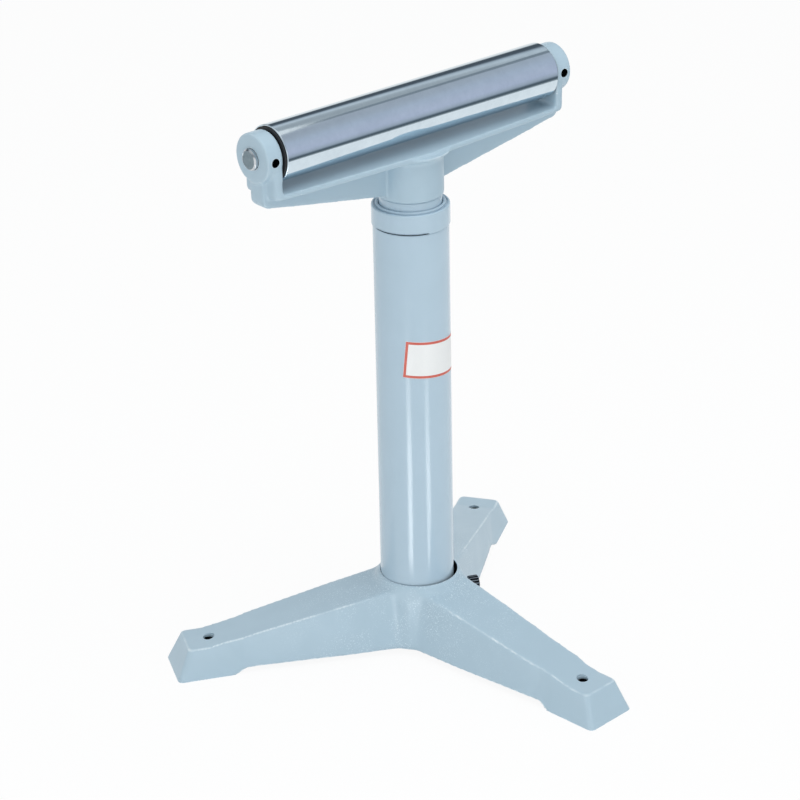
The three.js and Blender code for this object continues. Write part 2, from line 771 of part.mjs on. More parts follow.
const finish = (color, roughness, metalness) => ({ color, roughness, metalness });
const ENAMEL = finish(0xa9bfcb, 0.42, 0.0);
const CAST_ENAMEL = finish(0xa6bdc9, 0.55, 0.0);
const GROUND_STEEL = finish(0xb4b9bf, 0.24, 1.0);
const BRIGHT_STEEL = finish(0xc3c6c9, 0.32, 1.0);
const BLACK_OXIDE = finish(0x1c1d1f, 0.45, 0.7);
const NITRILE = finish(0x121212, 0.6, 0.0);
const NYLON = finish(0x26282a, 0.5, 0.0);
const BRASS = finish(0xb59a55, 0.35, 1.0);
const BEARING_STEEL = finish(0xcfd2d4, 0.18, 1.0);

function piece(name, geometry, look) {
  const mesh = new THREE.Mesh(geometry, new THREE.MeshStandardMaterial(look));
  mesh.name = name;
  return mesh;
}

/** Group whose Z axis points outwards along an azimuth, at a height. */
function radialPlace(azimuth, radius, height, ...meshes) {
  const place = new THREE.Group();
  place.position.copy(towards(azimuth, radius, height));
  place.rotation.set(0, Math.PI / 2, radians(azimuth), 'ZYX');
  return place.add(...meshes);
}

// Assembly.

function base() {
  const group = new THREE.Group();
  const casting = piece('tripod_base', tripodBase(), CAST_ENAMEL);
  casting.position.copy(towards(clampAzimuth, baseShift));
  const hubFace = HUB_FLOOR_RADIUS - CLAMP_SCREW_HEIGHT * SIDE_DRAFT + baseShift;
  const tip = tubeRadius + SEAT_GAP;
  const screw = piece('column_clamp_screw', flutedScrew(hubFace + SCREW_STANDOFF - tip), BLACK_OXIDE);
  return group.add(casting, radialPlace(clampAzimuth, tip, CLAMP_SCREW_HEIGHT, screw));
}

function column() {
  const group = new THREE.Group();
  const padFace = postRadius + SEAT_GAP;
  const padBack = padFace + LOCK_PAD_LENGTH;
  const pad = piece(
    'lock_pad',
    bar(screwRadius, 0, LOCK_PAD_LENGTH, LOCK_PAD_CHAMFER, SMALL_FACETS),
    BRASS,
  );
  const tip = padBack + SEAT_GAP;
  const screw = piece('height_lock_screw', flutedScrew(collarRadius + SCREW_STANDOFF - tip), BLACK_OXIDE);
  return group.add(
    piece('column_tube', columnTube(), ENAMEL),
    piece('column_collar', columnCollar(), ENAMEL),
    radialPlace(LOCK_SCREW_AZIMUTH, padFace, lockHeight, pad),
    radialPlace(LOCK_SCREW_AZIMUTH, tip, lockHeight, screw),
  );
}

function head() {
  const group = new THREE.Group();
  const pinReach = postRadius - SEAT_GAP;
  const pin = piece(
    'yoke_cross_pin',
    bar(CROSS_PIN_DIAMETER / 2, -pinReach, pinReach, CROSS_PIN_CHAMFER, SMALL_FACETS),
    BRIGHT_STEEL,
  );
  pin.position.z = pinHeight;
  pin.rotation.x = Math.PI / 2;
  return group.add(
    piece('post_guide_ring', postGuideRing(), NYLON),
    piece('post_end_plug', postEndPlug(), BRIGHT_STEEL),
    piece('inner_post', innerPost(), ENAMEL),
    piece('yoke', yokeCasting(), CAST_ENAMEL),
    pin,
  );
}

function roller() {
  const group = new THREE.Group();
  group.position.z = axisHeight;
  group.rotation.y = Math.PI / 2;
  group.add(
    piece('axle', bar(axleRadius, -axleEnd, axleEnd, AXLE_CHAMFER), BRIGHT_STEEL),
    piece('roller_shell', rollerShell(), GROUND_STEEL),
  );
  for (const [side, turn] of [['left', Math.PI], ['right', 0]]) {
    const end = new THREE.Group();
    end.rotation.y = turn;
    const screw = piece(`${side}_axle_set_screw`, setScrew(), BLACK_OXIDE);
    screw.position.set(0, -axleBore, bossMiddle);
    screw.rotation.x = Math.PI / 2;
    end.add(
      piece(`${side}_bearing_outer_race`, outerRace(), BEARING_STEEL),
      piece(`${side}_bearing_inner_race`, innerRace(), BEARING_STEEL),
      piece(`${side}_ball_cage`, ballCage(), BEARING_STEEL),
      piece(`${side}_bearing_spacer`, bearingSpacer(), BRIGHT_STEEL),
      piece(`${side}_end_seal`, endSeal(), NITRILE),
      screw,
    );
    group.add(end);
  }
  return group;
}

const stand = new THREE.Group();
stand.add(base(), column(), head(), roller());
stand.updateMatrixWorld(true);
const footprint = new THREE.Box3().setFromObject(stand).getCenter(new THREE.Vector3());
stand.position.set(-footprint.x, -footprint.y, 0);

export default stand;
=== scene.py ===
"""Looks of a workshop roller stand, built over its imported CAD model.

Shapes are worked out in millimetres about the column axis, and a mesh turns them to metres in the row frame.
"""

import logging
import math
from dataclasses import dataclass
from enum import Enum
from typing import Dict, List, Optional, Sequence, Tuple, Union

import bmesh
import bpy
import numpy as np
from mathutils import Matrix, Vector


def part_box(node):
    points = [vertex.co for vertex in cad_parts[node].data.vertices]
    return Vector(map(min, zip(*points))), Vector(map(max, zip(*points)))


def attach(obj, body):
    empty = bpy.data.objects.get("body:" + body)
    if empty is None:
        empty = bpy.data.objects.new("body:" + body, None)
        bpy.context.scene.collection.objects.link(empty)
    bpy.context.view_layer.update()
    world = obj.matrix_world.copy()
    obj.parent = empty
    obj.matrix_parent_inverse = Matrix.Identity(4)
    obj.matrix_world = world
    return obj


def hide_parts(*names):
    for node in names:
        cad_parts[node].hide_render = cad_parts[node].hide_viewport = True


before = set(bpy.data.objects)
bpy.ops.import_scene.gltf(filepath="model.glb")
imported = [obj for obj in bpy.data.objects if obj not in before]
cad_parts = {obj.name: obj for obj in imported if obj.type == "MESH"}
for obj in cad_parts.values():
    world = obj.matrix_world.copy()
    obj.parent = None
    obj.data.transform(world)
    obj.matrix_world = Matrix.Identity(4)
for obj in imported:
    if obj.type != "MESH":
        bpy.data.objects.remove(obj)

LOG = logging.getLogger("roller_stand")
MM = 0.001
MERGE_DISTANCE = 1e-6
SMOOTH_ANGLE = math.radians(38)
TURN_STEPS = 144
ARC_STEPS = 8
BRACE = 0.5
FULL_TURN = 2 * math.pi

Point = Tuple[float, float]
Corner = Tuple[float, float, float]
Colour = Tuple[float, float, float, float]
Input = Union[float, Colour, Tuple[float, float, float], bpy.types.NodeSocket]


class Body(Enum):
    """Moving bodies of the CAD model that pieces ride on."""

    BASE = "base_and_column"
    LOCK_SCREW = "lock_screw_body"
    HEAD = "head_body"
    ROLLER = "roller_body"


class Axis(Enum):
    """Order that puts a turned shape's (across, across, along) values on X, Y and Z."""

    X = (2, 0, 1)
    Z = (0, 1, 2)


class Side(Enum):
    """Ends of the roller, with the direction of each along X."""

    LEFT = -1
    RIGHT = 1


class Marks(Enum):
    """How the tool marks of a bare metal run."""

    AROUND = "rings round the roller"
    CONCENTRIC = "rings across a turned face"
    PLAIN = "no set direction"


class Skin(Enum):
    """Place of a casting's finishes in its list of materials."""

    COATED = 0
    MACHINED = 1


class Cut(Enum):
    """Ways to combine two solids."""

    ADD = "UNION"
    KEEP = "INTERSECT"
    REMOVE = "DIFFERENCE"


def node_box(node: str) -> Tuple[np.ndarray, np.ndarray]:
    """Gives a CAD node's lowest and highest corners in millimetres.

    Args:
        node: The CAD node's name.

    Returns:
        The two corners.
    """
    low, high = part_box(node)
    return np.array(low) / MM, np.array(high) / MM


def node_middle(node: str) -> np.ndarray:
    """Returns the middle of a CAD node's box in millimetres."""
    low, high = node_box(node)
    return (low + high) / 2


COLUMN_AXIS = node_middle("column_tube") * (1, 1, 0)


# Surfaces


@dataclass(frozen=True)
class Surface:
    """Points in millimetres, faces that index them, and one texture place per point."""

    points: np.ndarray
    faces: List[List[int]]
    uvs: np.ndarray

    def turned(self, azimuth: float) -> "Surface":
        """Turns the surface about Z.

        Args:
            azimuth: The angle in degrees.

        Returns:
            The turned surface.
        """
        cos, sin = math.cos(math.radians(azimuth)), math.sin(math.radians(azimuth))
        spin = np.array([[cos, sin, 0], [-sin, cos, 0], [0, 0, 1]])
        return Surface(self.points @ spin, self.faces, self.uvs)

    def moved(self, shift: Sequence[float]) -> "Surface":
        """Returns the surface moved by a shift in millimetres."""
        return Surface(self.points + np.asarray(shift, float), self.faces, self.uvs)


def joined(parts: Sequence[Surface]) -> Surface:
    """Puts several surfaces into one, with no welding.

    Args:
        parts: The surfaces.

    Returns:
        One surface that holds them all.
    """
    starts = np.cumsum([0] + [len(part.points) for part in parts])
    faces = [[int(start) + i for i in face] for start, part in zip(starts, parts) for face in part.faces]
    return Surface(
        np.concatenate([part.points for part in parts]),
        faces,
        np.concatenate([part.uvs for part in parts]),
    )


def grid(points: np.ndarray, wrap_u: bool = False, wrap_v: bool = False, capped: bool = False,
         uvs: Optional[np.ndarray] = None) -> Surface:
    """Skins a grid of points: each cell between neighbours in u and v is one four-sided face.

    Args:
        points: Array of shape (u, v, 3) in millimetres.
        wrap_u: Whether the last row joins the first.
        wrap_v: Whether the last column joins the first.
        capped: Whether the first and last rows are closed by one flat face each.
        uvs: Array of shape (u, v, 2), or nothing for the grid's own shares.

    Returns:
        The skinned surface.
    """
    rows, columns = points.shape[:2]
    index = np.arange(rows * columns).reshape(rows, columns)
    u = index if wrap_u else index[:-1]
    after_u = np.roll(index, -1, 0) if wrap_u else index[1:]
    quads = np.stack([
        u if wrap_v else u[:, :-1],
        np.roll(u, -1, 1) if wrap_v else u[:, 1:],
        np.roll(after_u, -1, 1) if wrap_v else after_u[:, 1:],
        after_u if wrap_v else after_u[:, :-1],
    ], axis=-1)
    faces = quads.reshape(-1, 4).tolist()
    if capped:
        faces += [index[0][::-1].tolist(), index[-1].tolist()]
    if uvs is None:
        shares = np.meshgrid(np.linspace(0, 1, rows), np.linspace(0, 1, columns), indexing="ij")
        uvs = np.stack(shares, axis=-1)
    return Surface(points.reshape(-1, 3), faces, uvs.reshape(-1, 2))


def arc(centre: Point, radius: float, start: float, end: float, steps: int = ARC_STEPS) -> np.ndarray:
    """Points round a circle: centre plus radius times (cos, sin) of an angle that goes from start to end.

    Args:
        centre: The circle's middle.
        radius: Its radius.
        start: The first angle in radians.
        end: The last angle in radians.
        steps: How many stretches the arc has.

    Returns:
        Array of shape (steps + 1, 2).
    """
    angle = np.linspace(start, end, steps + 1)
    return np.asarray(centre, float) + radius * np.stack([np.cos(angle), np.sin(angle)], axis=1)


def rounded_path(corners: Sequence[Corner], closed: bool = False) -> np.ndarray:
    """A line through corners, each rounded by the circle that touches both of its stretches.

    The touching points lie radius / tan(half the corner's angle) from the corner, and the arc between them
    swings one radius vector into the other about the circle's middle.

    Args:
        corners: (across, along, radius) of each corner, where a radius of 0 keeps it sharp.
        closed: Whether the line comes back to its start.

    Returns:
        Array of shape (n, 2).
    """
    places = np.array([corner[:2] for corner in corners], float)
    pieces = []
    last = len(corners) - 1
    for i, (place, corner) in enumerate(zip(places, corners)):
        radius = corner[2]
        if radius == 0 or (not closed and i in (0, last)):
            pieces.append(place[None])
            continue
        back = places[i - 1] - place
        ahead = places[(i + 1) % len(corners)] - place
        back, ahead = back / np.linalg.norm(back), ahead / np.linalg.norm(ahead)
        half = math.acos(float(np.clip(back @ ahead, -1, 1))) / 2
        reach = radius / math.tan(half)
        middle = place + (back + ahead) / np.linalg.norm(back + ahead) * radius / math.sin(half)
        first, second = place + back * reach - middle, place + ahead * reach - middle
        swing = math.pi - 2 * half
        share = np.linspace(0, 1, ARC_STEPS + 1)[:, None]
        pieces.append(middle + (np.sin((1 - share) * swing) * first + np.sin(share * swing) * second)
                      / math.sin(swing))
    return np.concatenate(pieces)


def braced(profile: np.ndarray, ring: bool) -> np.ndarray:
    """Adds a point near each end of every long stretch of a profile, so that it shades straight between bends.

    Args:
        profile: Array of shape (n, 2).
        ring: Whether the profile closes on itself.

    Returns:
        Array of shape (m, 2) that follows the same line.
    """
    after = np.roll(profile, -1, axis=0)
    length = np.linalg.norm(after - profile, axis=1)[:, None]
    step = np.divide(after - profile, length, out=np.zeros_like(profile), where=length > 0) * BRACE
    long = length[:, 0] > 3 * BRACE
    long[-1] &= ring
    points = np.stack([profile, profile + step, after - step], axis=1)
    keep = np.stack([np.ones_like(long), long, long], axis=1)
    return points[keep]


def revolve(profile: np.ndarray, axis: Axis = Axis.Z, ring: bool = False, steps: int = TURN_STEPS) -> Surface:
    """A profile of (radius, along) carried round an axis: (radius cos t, radius sin t, along) for t round a turn.

    Args:
        profile: Array of shape (n, 2).
        axis: The axis that it turns about.
        ring: Whether the profile closes on itself, as a tube's does, or ends on the axis.
        steps: How many stretches the turn has.

    Returns:
        The closed surface, with the distance along the profile in millimetres as its second texture value.
    """
    profile = braced(np.asarray(profile, float), ring)
    turn = np.linspace(0, FULL_TURN, steps, endpoint=False)[:, None]
    radius, along = profile[:, 0][None], profile[:, 1][None]
    points = np.stack([radius * np.cos(turn), radius * np.sin(turn), along + 0 * turn], axis=-1)
    walked = np.cumsum(np.r_[0, np.linalg.norm(np.diff(profile, axis=0), axis=1)])
    uvs = np.stack(np.broadcast_arrays(turn / FULL_TURN, walked[None]), axis=-1)
    return grid(points[..., axis.value], wrap_u=True, wrap_v=ring, uvs=uvs)


def prism(outlines: np.ndarray) -> Surface:
    """A stack of matching closed outlines of shape (rings, n, 3), skinned and closed at both ends."""
    return grid(outlines, wrap_v=True, capped=True)


# Meshes


def raw_object(name: str, surface: Surface) -> bpy.types.Object:
    """Puts a surface into a new object, welded and with its faces outwards.

    Args:
        name: The object's name.
        surface: The surface, about the column axis.

    Returns:
        The object, linked to the scene.
    """
    mesh = bpy.data.meshes.new(name)
    mesh.from_pydata(((surface.points + COLUMN_AXIS) * MM).tolist(), [], surface.faces)
    corners = np.empty(len(mesh.loops), dtype=np.int32)
    mesh.loops.foreach_get("vertex_index", corners)
    mesh.uv_layers.new(name="surface").data.foreach_set("uv", surface.uvs[corners].ravel())
    work = bmesh.new()
    work.from_mesh(mesh)
    bmesh.ops.remove_doubles(work, verts=work.verts, dist=MERGE_DISTANCE)
    bmesh.ops.recalc_face_normals(work, faces=work.faces)
    work.to_mesh(mesh)
    work.free()
    made = bpy.data.objects.new(name, mesh)
    bpy.context.scene.collection.objects.link(made)
    return made


def settle(made: bpy.types.Object) -> None:
    """Bakes an object's modifiers into its mesh."""
    graph = bpy.context.evaluated_depsgraph_get()
    baked = bpy.data.meshes.new_from_object(made.evaluated_get(graph))
    made.modifiers.clear()
    made.data = baked


def combine(made: bpy.types.Object, tool: Surface, cut: Cut, skin: Skin = Skin.COATED) -> None:
    """Adds a surface's solid to an object, keeps what they share, or takes it away.

    Args:
        made: The object that changes.
        tool: The other solid, as a closed surface.
        cut: What to do with it.
        skin: Which of the object's finishes the new faces take.
    """
    other = raw_object("tool", tool)
    for material in made.data.materials:
        other.data.materials.append(material)
    other.data.polygons.foreach_set("material_index", np.full(len(other.data.polygons), skin.value, np.int32))
    modifier = made.modifiers.new("combine", "BOOLEAN")
    modifier.operation = cut.value
    modifier.solver = "MANIFOLD"
    modifier.object = other
    settle(made)
    bpy.data.objects.remove(other)


def melt(made: bpy.types.Object, grain: float) -> None:
    """Melts a joined solid into one skin of even cells.

    Args:
        made: The object that changes.
        grain: Size of the cells in millimetres.
    """
    remesh = made.modifiers.new("skin", "REMESH")
    remesh.mode = "VOXEL"
    remesh.voxel_size = grain * MM
    settle(made)


def mesh_points(made: bpy.types.Object) -> np.ndarray:
    """Gives an object's points in millimetres about the column axis.

    Args:
        made: The object.

    Returns:
        Array of shape (n, 3).
    """
    points = np.empty(len(made.data.vertices) * 3)
    made.data.vertices.foreach_get("co", points)
    return points.reshape(-1, 3) / MM - COLUMN_AXIS


def neighbour_mean(made: bpy.types.Object, points: np.ndarray) -> np.ndarray:
    """Gives the middle of each point's neighbours along the object's edges.

    Args:
        made: The object.
        points: Array of shape (n, 3) with a value for each of its points.

    Returns:
        Array of the same shape.
    """
    edges = np.empty(len(made.data.edges) * 2, dtype=np.int32)
    made.data.edges.foreach_get("vertices", edges)
    first, second = edges.reshape(-1, 2).T
    ends, others = np.r_[first, second], np.r_[second, first]
    count = np.maximum(np.bincount(ends, minlength=len(points)), 1)[:, None]
    return np.stack([np.bincount(ends, axis[others], len(points)) for axis in points.T], axis=1) / count


def soften(made: bpy.types.Object, share: np.ndarray, passes: int) -> None:
    """Rounds edges and fills corners, as a sand mould does.

    In each pass a point goes half of its share of the way to the middle of its neighbours, so the rounding
    grows with the root of the number of passes.

    Args:
        made: The object that changes.
        share: How much each point takes part, from 0 to 1.
        passes: How many passes there are.
    """
    points = mesh_points(made)
    for _ in range(passes):
        points += share[:, None] / 2 * (neighbour_mean(made, points) - points)
    made.data.vertices.foreach_set("co", ((points + COLUMN_AXIS) * MM).ravel())
    made.data.update()


def note(made: bpy.types.Object, name: str, values: np.ndarray) -> None:
    """Keeps a value for each point of an object in an attribute, which finishes read by its name."""
    made.data.attributes.new(name, "FLOAT", "POINT").data.foreach_set("value", values)


def mark_edges(made: bpy.types.Object) -> None:
    """Notes in the attribute "edge" how far each point stands out from its neighbours, in millimetres.

    Args:
        made: The object that gets the attribute.
    """
    points = mesh_points(made)
    normals = np.empty(points.size)
    made.data.vertex_normals.foreach_get("vector", normals)
    stand = np.sum((points - neighbour_mean(made, points)) * normals.reshape(-1, 3), axis=1)
    note(made, "edge", stand)


def finish_piece(made: bpy.types.Object, finish: "Finish", body: Body, *replaced: str) -> bpy.types.Object:
    """Shades, dresses and hangs a finished piece in the frame.

    Args:
        made: The piece.
        finish: Its finish.
        body: The CAD body that it rides on.
        replaced: CAD nodes that it stands for.

    Returns:
        The same piece.
    """
    made.data.shade_smooth()
    made.data.set_sharp_from_angle(angle=SMOOTH_ANGLE)
    if not made.data.materials:
        made.data.materials.append(finish.material())
    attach(made, body.value)
    if replaced:
        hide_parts(*replaced)
    LOG.info("%s: %d faces in %s", made.name, len(made.data.polygons), finish.name)
    return made


# Finishes


def linear(code: str) -> Colour:
    """Turns an sRGB hex colour into linear light.

    Args:
        code: Six hex digits after a hash sign.

    Returns:
        Red, green, blue and an alpha of 1.
    """
    channels = [int(code[i:i + 2], 16) / 255 for i in (1, 3, 5)]
    light = [c / 12.92 if c <= 0.04045 else ((c + 0.055) / 1.055) ** 2.4 for c in channels]
    return (*light, 1.0)


def per_size(size: float) -> float:
    """Returns the texture scale whose features are about a size in millimetres on Object coordinates."""
    return 1 / (size * MM)


def add_node(tree: bpy.types.NodeTree, kind: str, inputs: Optional[Dict[Union[str, int], Input]] = None,
             **settings: object) -> bpy.types.Node:
    """Adds a node with its settings, and sets or links its inputs.

    Args:
        tree: The node tree.
        kind: Blender's name of the node type.
        inputs: Value or linked output for each input, by name or place.
        settings: The node's own properties.

    Returns:
        The node.
    """
    node = tree.nodes.new(kind)
    for name, value in settings.items():
        setattr(node, name, value)
    for key, value in (inputs or {}).items():
        if isinstance(value, bpy.types.NodeSocket):
            tree.links.new(value, node.inputs[key])
        else:
            node.inputs[key].default_value = value
    return node


@dataclass(frozen=True)
class Finish:
    """A surface finish: its name, the record's slot that it belongs to, its two tones and its gloss."""

    name: str
    slot: str
    tone: str
    shade: str
    roughness: float

    def material(self) -> bpy.types.Material:
        """Returns the finish's material, made on first use."""
        found = bpy.data.materials.get(self.name)
        return found or self.make()

    def make(self) -> bpy.types.Material:
        """Makes the material: an empty shader tree that the finish then fills.

        Returns:
            The material.
        """
        made = bpy.data.materials.new(self.name)
        made.use_nodes = True
        made.node_tree.nodes.clear()
        shader = add_node(made.node_tree, "ShaderNodeBsdfPrincipled", {"Roughness": self.roughness})
        add_node(made.node_tree, "ShaderNodeOutputMaterial", {"Surface": shader.outputs[0]})
        self.fill(made.node_tree, shader)
        return made

    def fill(self, tree: bpy.types.NodeTree, shader: bpy.types.Node) -> None:
        """Adds the finish's own nodes.

        Args:
            tree: The material's nodes.
            shader: Its shader.
        """
        raise NotImplementedError

    def two_tone(self, tree: bpy.types.NodeTree, share: bpy.types.NodeSocket) -> bpy.types.NodeSocket:
        """Mixes the finish's two tones.

        Args:
            tree: The material's nodes.
            share: Where the tone gives way to the shade, from 0 to 1.

        Returns:
            The mixed colour.
        """
        mix = add_node(tree, "ShaderNodeMix", {
            "Factor": share, 6: linear(self.tone), 7: linear(self.shade),
        }, data_type="RGBA")
        return mix.outputs[2]


@dataclass(frozen=True)
class Enamel(Finish):
    """Sprayed enamel: an even pale coat with a soft gloss, pebbled by orange peel or by the casting under it."""

    peel: float
    peel_depth: float
    grit: float
    grit_depth: float
    cloud: float = 45.0

    def fill(self, tree: bpy.types.NodeTree, shader: bpy.types.Node) -> None:
        """Adds slow clouds of tone, the peel's waves and the grit of the surface under the coat."""
        place = add_node(tree, "ShaderNodeTexCoord").outputs["Object"]
        clouds = add_node(tree, "ShaderNodeTexNoise", {
            "Vector": place, "Scale": per_size(self.cloud), "Detail": 5.0, "Roughness": 0.6,
        })
        peel = add_node(tree, "ShaderNodeTexNoise", {
            "Vector": place, "Scale": per_size(self.peel), "Detail": 2.0, "Roughness": 0.45,
        })
        grit = add_node(tree, "ShaderNodeTexNoise", {
            "Vector": place, "Scale": per_size(self.grit), "Detail": 3.0, "Roughness": 0.55,
        })
        gloss = add_node(tree, "ShaderNodeMapRange", {
            "Value": clouds.outputs[0], "From Min": 0.3, "From Max": 0.7,
            "To Min": self.roughness * 0.85, "To Max": self.roughness * 1.15,
        })
        coarse = add_node(tree, "ShaderNodeBump", {
            "Height": peel.outputs[0], "Distance": self.peel_depth * MM, "Strength": 1.0,
        })
        fine = add_node(tree, "ShaderNodeBump", {
            "Height": grit.outputs[0], "Distance": self.grit_depth * MM, "Strength": 1.0,
            "Normal": coarse.outputs[0],
        })
        tree.links.new(self.two_tone(tree, clouds.outputs[0]), shader.inputs["Base Color"])
        tree.links.new(gloss.outputs[0], shader.inputs["Roughness"])
        tree.links.new(fine.outputs[0], shader.inputs["Normal"])


@dataclass(frozen=True)
class PebbledEnamel(Enamel):
    """Enamel over a sand casting, with painted highlights along its edges and painted glints on single grains of the
    mould in patches.

    The attribute "edge" holds how far a point stands out, and "grains" how much of the painted glints the casting
    takes there.
    """

    pebble: float = 1.2
    pebble_depth: float = 0.02
    # Tone of the painted glints on the grains.
    painted_glint_tone: str = "#d9e8f1"
    pebble_patch: float = 26.0
    scarcity: float = 0.58
    # Tone of the painted highlights along the edges.
    edge_highlight_tone: str = "#edf6fa"
    edge_start: float = 0.09
    edge_full: float = 0.2

    def fill(self, tree: bpy.types.NodeTree, shader: bpy.types.Node) -> None:
        """Adds the enamel, then paints highlights on its edges, and painted glints on its grains where a fine noise
        is high in patches.
        """
        super().fill(tree, shader)
        place = add_node(tree, "ShaderNodeTexCoord").outputs["Object"]
        grains = add_node(tree, "ShaderNodeTexNoise", {
            "Vector": place, "Scale": per_size(self.pebble), "Detail": 1.0, "Roughness": 0.4,
        })
        patches = add_node(tree, "ShaderNodeTexNoise", {
            "Vector": place, "Scale": per_size(self.pebble_patch), "Detail": 2.0,
        })
        thick = add_node(tree, "ShaderNodeMapRange", {
            "Value": patches.outputs[0], "From Min": 0.36, "From Max": 0.6, "To Max": 0.85,
        })
        peaks = add_node(tree, "ShaderNodeMapRange", {
            "Value": grains.outputs[0], "From Min": self.scarcity, "From Max": self.scarcity + 0.1,
        })
        glint_amount = add_node(tree, "ShaderNodeAttribute", attribute_name="grains")
        held = add_node(tree, "ShaderNodeMath", {0: thick.outputs[0], 1: glint_amount.outputs["Fac"]}, operation="MULTIPLY")
        share = add_node(tree, "ShaderNodeMath", {0: held.outputs[0], 1: peaks.outputs[0]}, operation="MULTIPLY")
        coat = shader.inputs["Base Color"].links[0].from_socket
        # Painted glints: the coat is lightened to the glint tone on grain peaks in patches.
        glinted_coat = add_node(tree, "ShaderNodeMix", {"Factor": share.outputs[0], 6: coat, 7: linear(self.painted_glint_tone)},
                       data_type="RGBA")
        bump = add_node(tree, "ShaderNodeBump", {
            "Height": share.outputs[0], "Distance": self.pebble_depth * MM, "Strength": 1.0,
            "Normal": shader.inputs["Normal"].links[0].from_socket,
        })
        # Painted highlight: the coat is lightened along edges that stand out, more in some patches than in others.
        bend = add_node(tree, "ShaderNodeAttribute", attribute_name="edge")
        edge = add_node(tree, "ShaderNodeMapRange", {
            "Value": bend.outputs["Fac"], "From Min": self.edge_start, "From Max": self.edge_full, "To Max": 0.85,
        })
        edge_highlight_patches = add_node(tree, "ShaderNodeMapRange", {
            "Value": patches.outputs[0], "From Min": 0.4, "From Max": 0.6, "To Min": 0.35, "To Max": 1.0,
        })
        along = add_node(tree, "ShaderNodeMath", {0: edge.outputs[0], 1: edge_highlight_patches.outputs[0]}, operation="MULTIPLY")
        edge_highlighted = add_node(tree, "ShaderNodeMix", {
            "Factor": along.outputs[0], 6: glinted_coat.outputs[2], 7: linear(self.edge_highlight_tone),
        }, data_type="RGBA")
        tree.links.new(edge_highlighted.outputs[2], shader.inputs["Base Color"])
        tree.links.new(bump.outputs[0], shader.inputs["Normal"])


@dataclass(frozen=True)
class BareMetal(Finish):
    """Uncoated metal: a clear reflection, drawn out across fine tool marks and dulled in patches by handling."""

    marks: Marks
    spacing: float
    depth: float
    patch: float = 14.0

    def mark_height(self, tree: bpy.types.NodeTree, coords: bpy.types.Node) -> bpy.types.NodeSocket:
        """Gives the height of the tool marks.

        Rings round the roller vary along X and hardly round the turn. Rings across a turned face follow the
        distance along its profile.

        Args:
            tree: The material's nodes.
            coords: The texture coordinates.

        Returns:
            The height, from 0 to 1.
        """
        if self.marks is Marks.CONCENTRIC:
            along = add_node(tree, "ShaderNodeSeparateXYZ", {0: coords.outputs["UV"]})
            ring = add_node(tree, "ShaderNodeMath", {0: along.outputs[1], 1: FULL_TURN / self.spacing},
                            operation="MULTIPLY")
            return add_node(tree, "ShaderNodeMath", {0: ring.outputs[0]}, operation="SINE").outputs[0]
        stretch = 0.04 if self.marks is Marks.AROUND else 1.0
        mapped = add_node(tree, "ShaderNodeMapping", {
            "Vector": coords.outputs["Object"], "Scale": (1.0, stretch, stretch),
        })
        return add_node(tree, "ShaderNodeTexNoise", {
            "Vector": mapped.outputs[0], "Scale": per_size(self.spacing), "Detail": 3.0,
        }).outputs[0]

    def fill(self, tree: bpy.types.NodeTree, shader: bpy.types.Node) -> None:
        """Adds the patches, which dull and shade the metal, and the tool marks."""
        coords = add_node(tree, "ShaderNodeTexCoord")
        patches = add_node(tree, "ShaderNodeTexNoise", {
            "Vector": coords.outputs["Object"], "Scale": per_size(self.patch), "Detail": 6.0, "Roughness": 0.65,
        })
        gloss = add_node(tree, "ShaderNodeMapRange", {
            "Value": patches.outputs[0], "From Min": 0.3, "From Max": 0.7,
            "To Min": self.roughness * 0.75, "To Max": self.roughness * 1.25,
        })
        bump = add_node(tree, "ShaderNodeBump", {
            "Height": self.mark_height(tree, coords), "Distance": self.depth * MM, "Strength": 1.0,
        })
        shader.inputs["Metallic"].default_value = 1.0
        tree.links.new(self.two_tone(tree, patches.outputs[0]), shader.inputs["Base Color"])
        tree.links.new(gloss.outputs[0], shader.inputs["Roughness"])
        tree.links.new(bump.outputs[0], shader.inputs["Normal"])


@dataclass(frozen=True)
class FlutedMetal(BareMetal):
    """Blackened metal with flutes, with a painted highlight along each crest."""

    flutes: int = 16
    # Tone of the painted highlight on the crests.
    crest_highlight: str = "#8d99a3"
    crest_share: float = 0.55

    def fill(self, tree: bpy.types.NodeTree, shader: bpy.types.Node) -> None:
        """Adds the metal, then paints a highlight on it where the cosine of the angle times the number of flutes is
        high.

        The piece's texture place is its share of the turn and its share along the profile.
        """
        super().fill(tree, shader)
        place = add_node(tree, "ShaderNodeSeparateXYZ", {0: add_node(tree, "ShaderNodeTexCoord").outputs["UV"]})
        turn = add_node(tree, "ShaderNodeMath", {0: place.outputs[0], 1: FULL_TURN * self.flutes},
                        operation="MULTIPLY")
        wave = add_node(tree, "ShaderNodeMath", {0: turn.outputs[0]}, operation="COSINE")
        crest_highlight = add_node(tree, "ShaderNodeMapRange", {
            "Value": wave.outputs[0], "From Min": self.crest_share - 0.3, "From Max": self.crest_share + 0.3,
        })
        head = add_node(tree, "ShaderNodeMath", {0: place.outputs[1], 1: 0.55, 2: 0.2}, operation="COMPARE")
        share = add_node(tree, "ShaderNodeMath", {0: crest_highlight.outputs[0], 1: head.outputs[0]}, operation="MULTIPLY")
        black = shader.inputs["Base Color"].links[0].from_socket
        # Painted highlight: the black turns light grey along each crest of the head.
        bare = add_node(tree, "ShaderNodeMix", {"Factor": share.outputs[0], 6: black, 7: linear(self.crest_highlight)},
                        data_type="RGBA")
        tree.links.new(bare.outputs[2], shader.inputs["Base Color"])


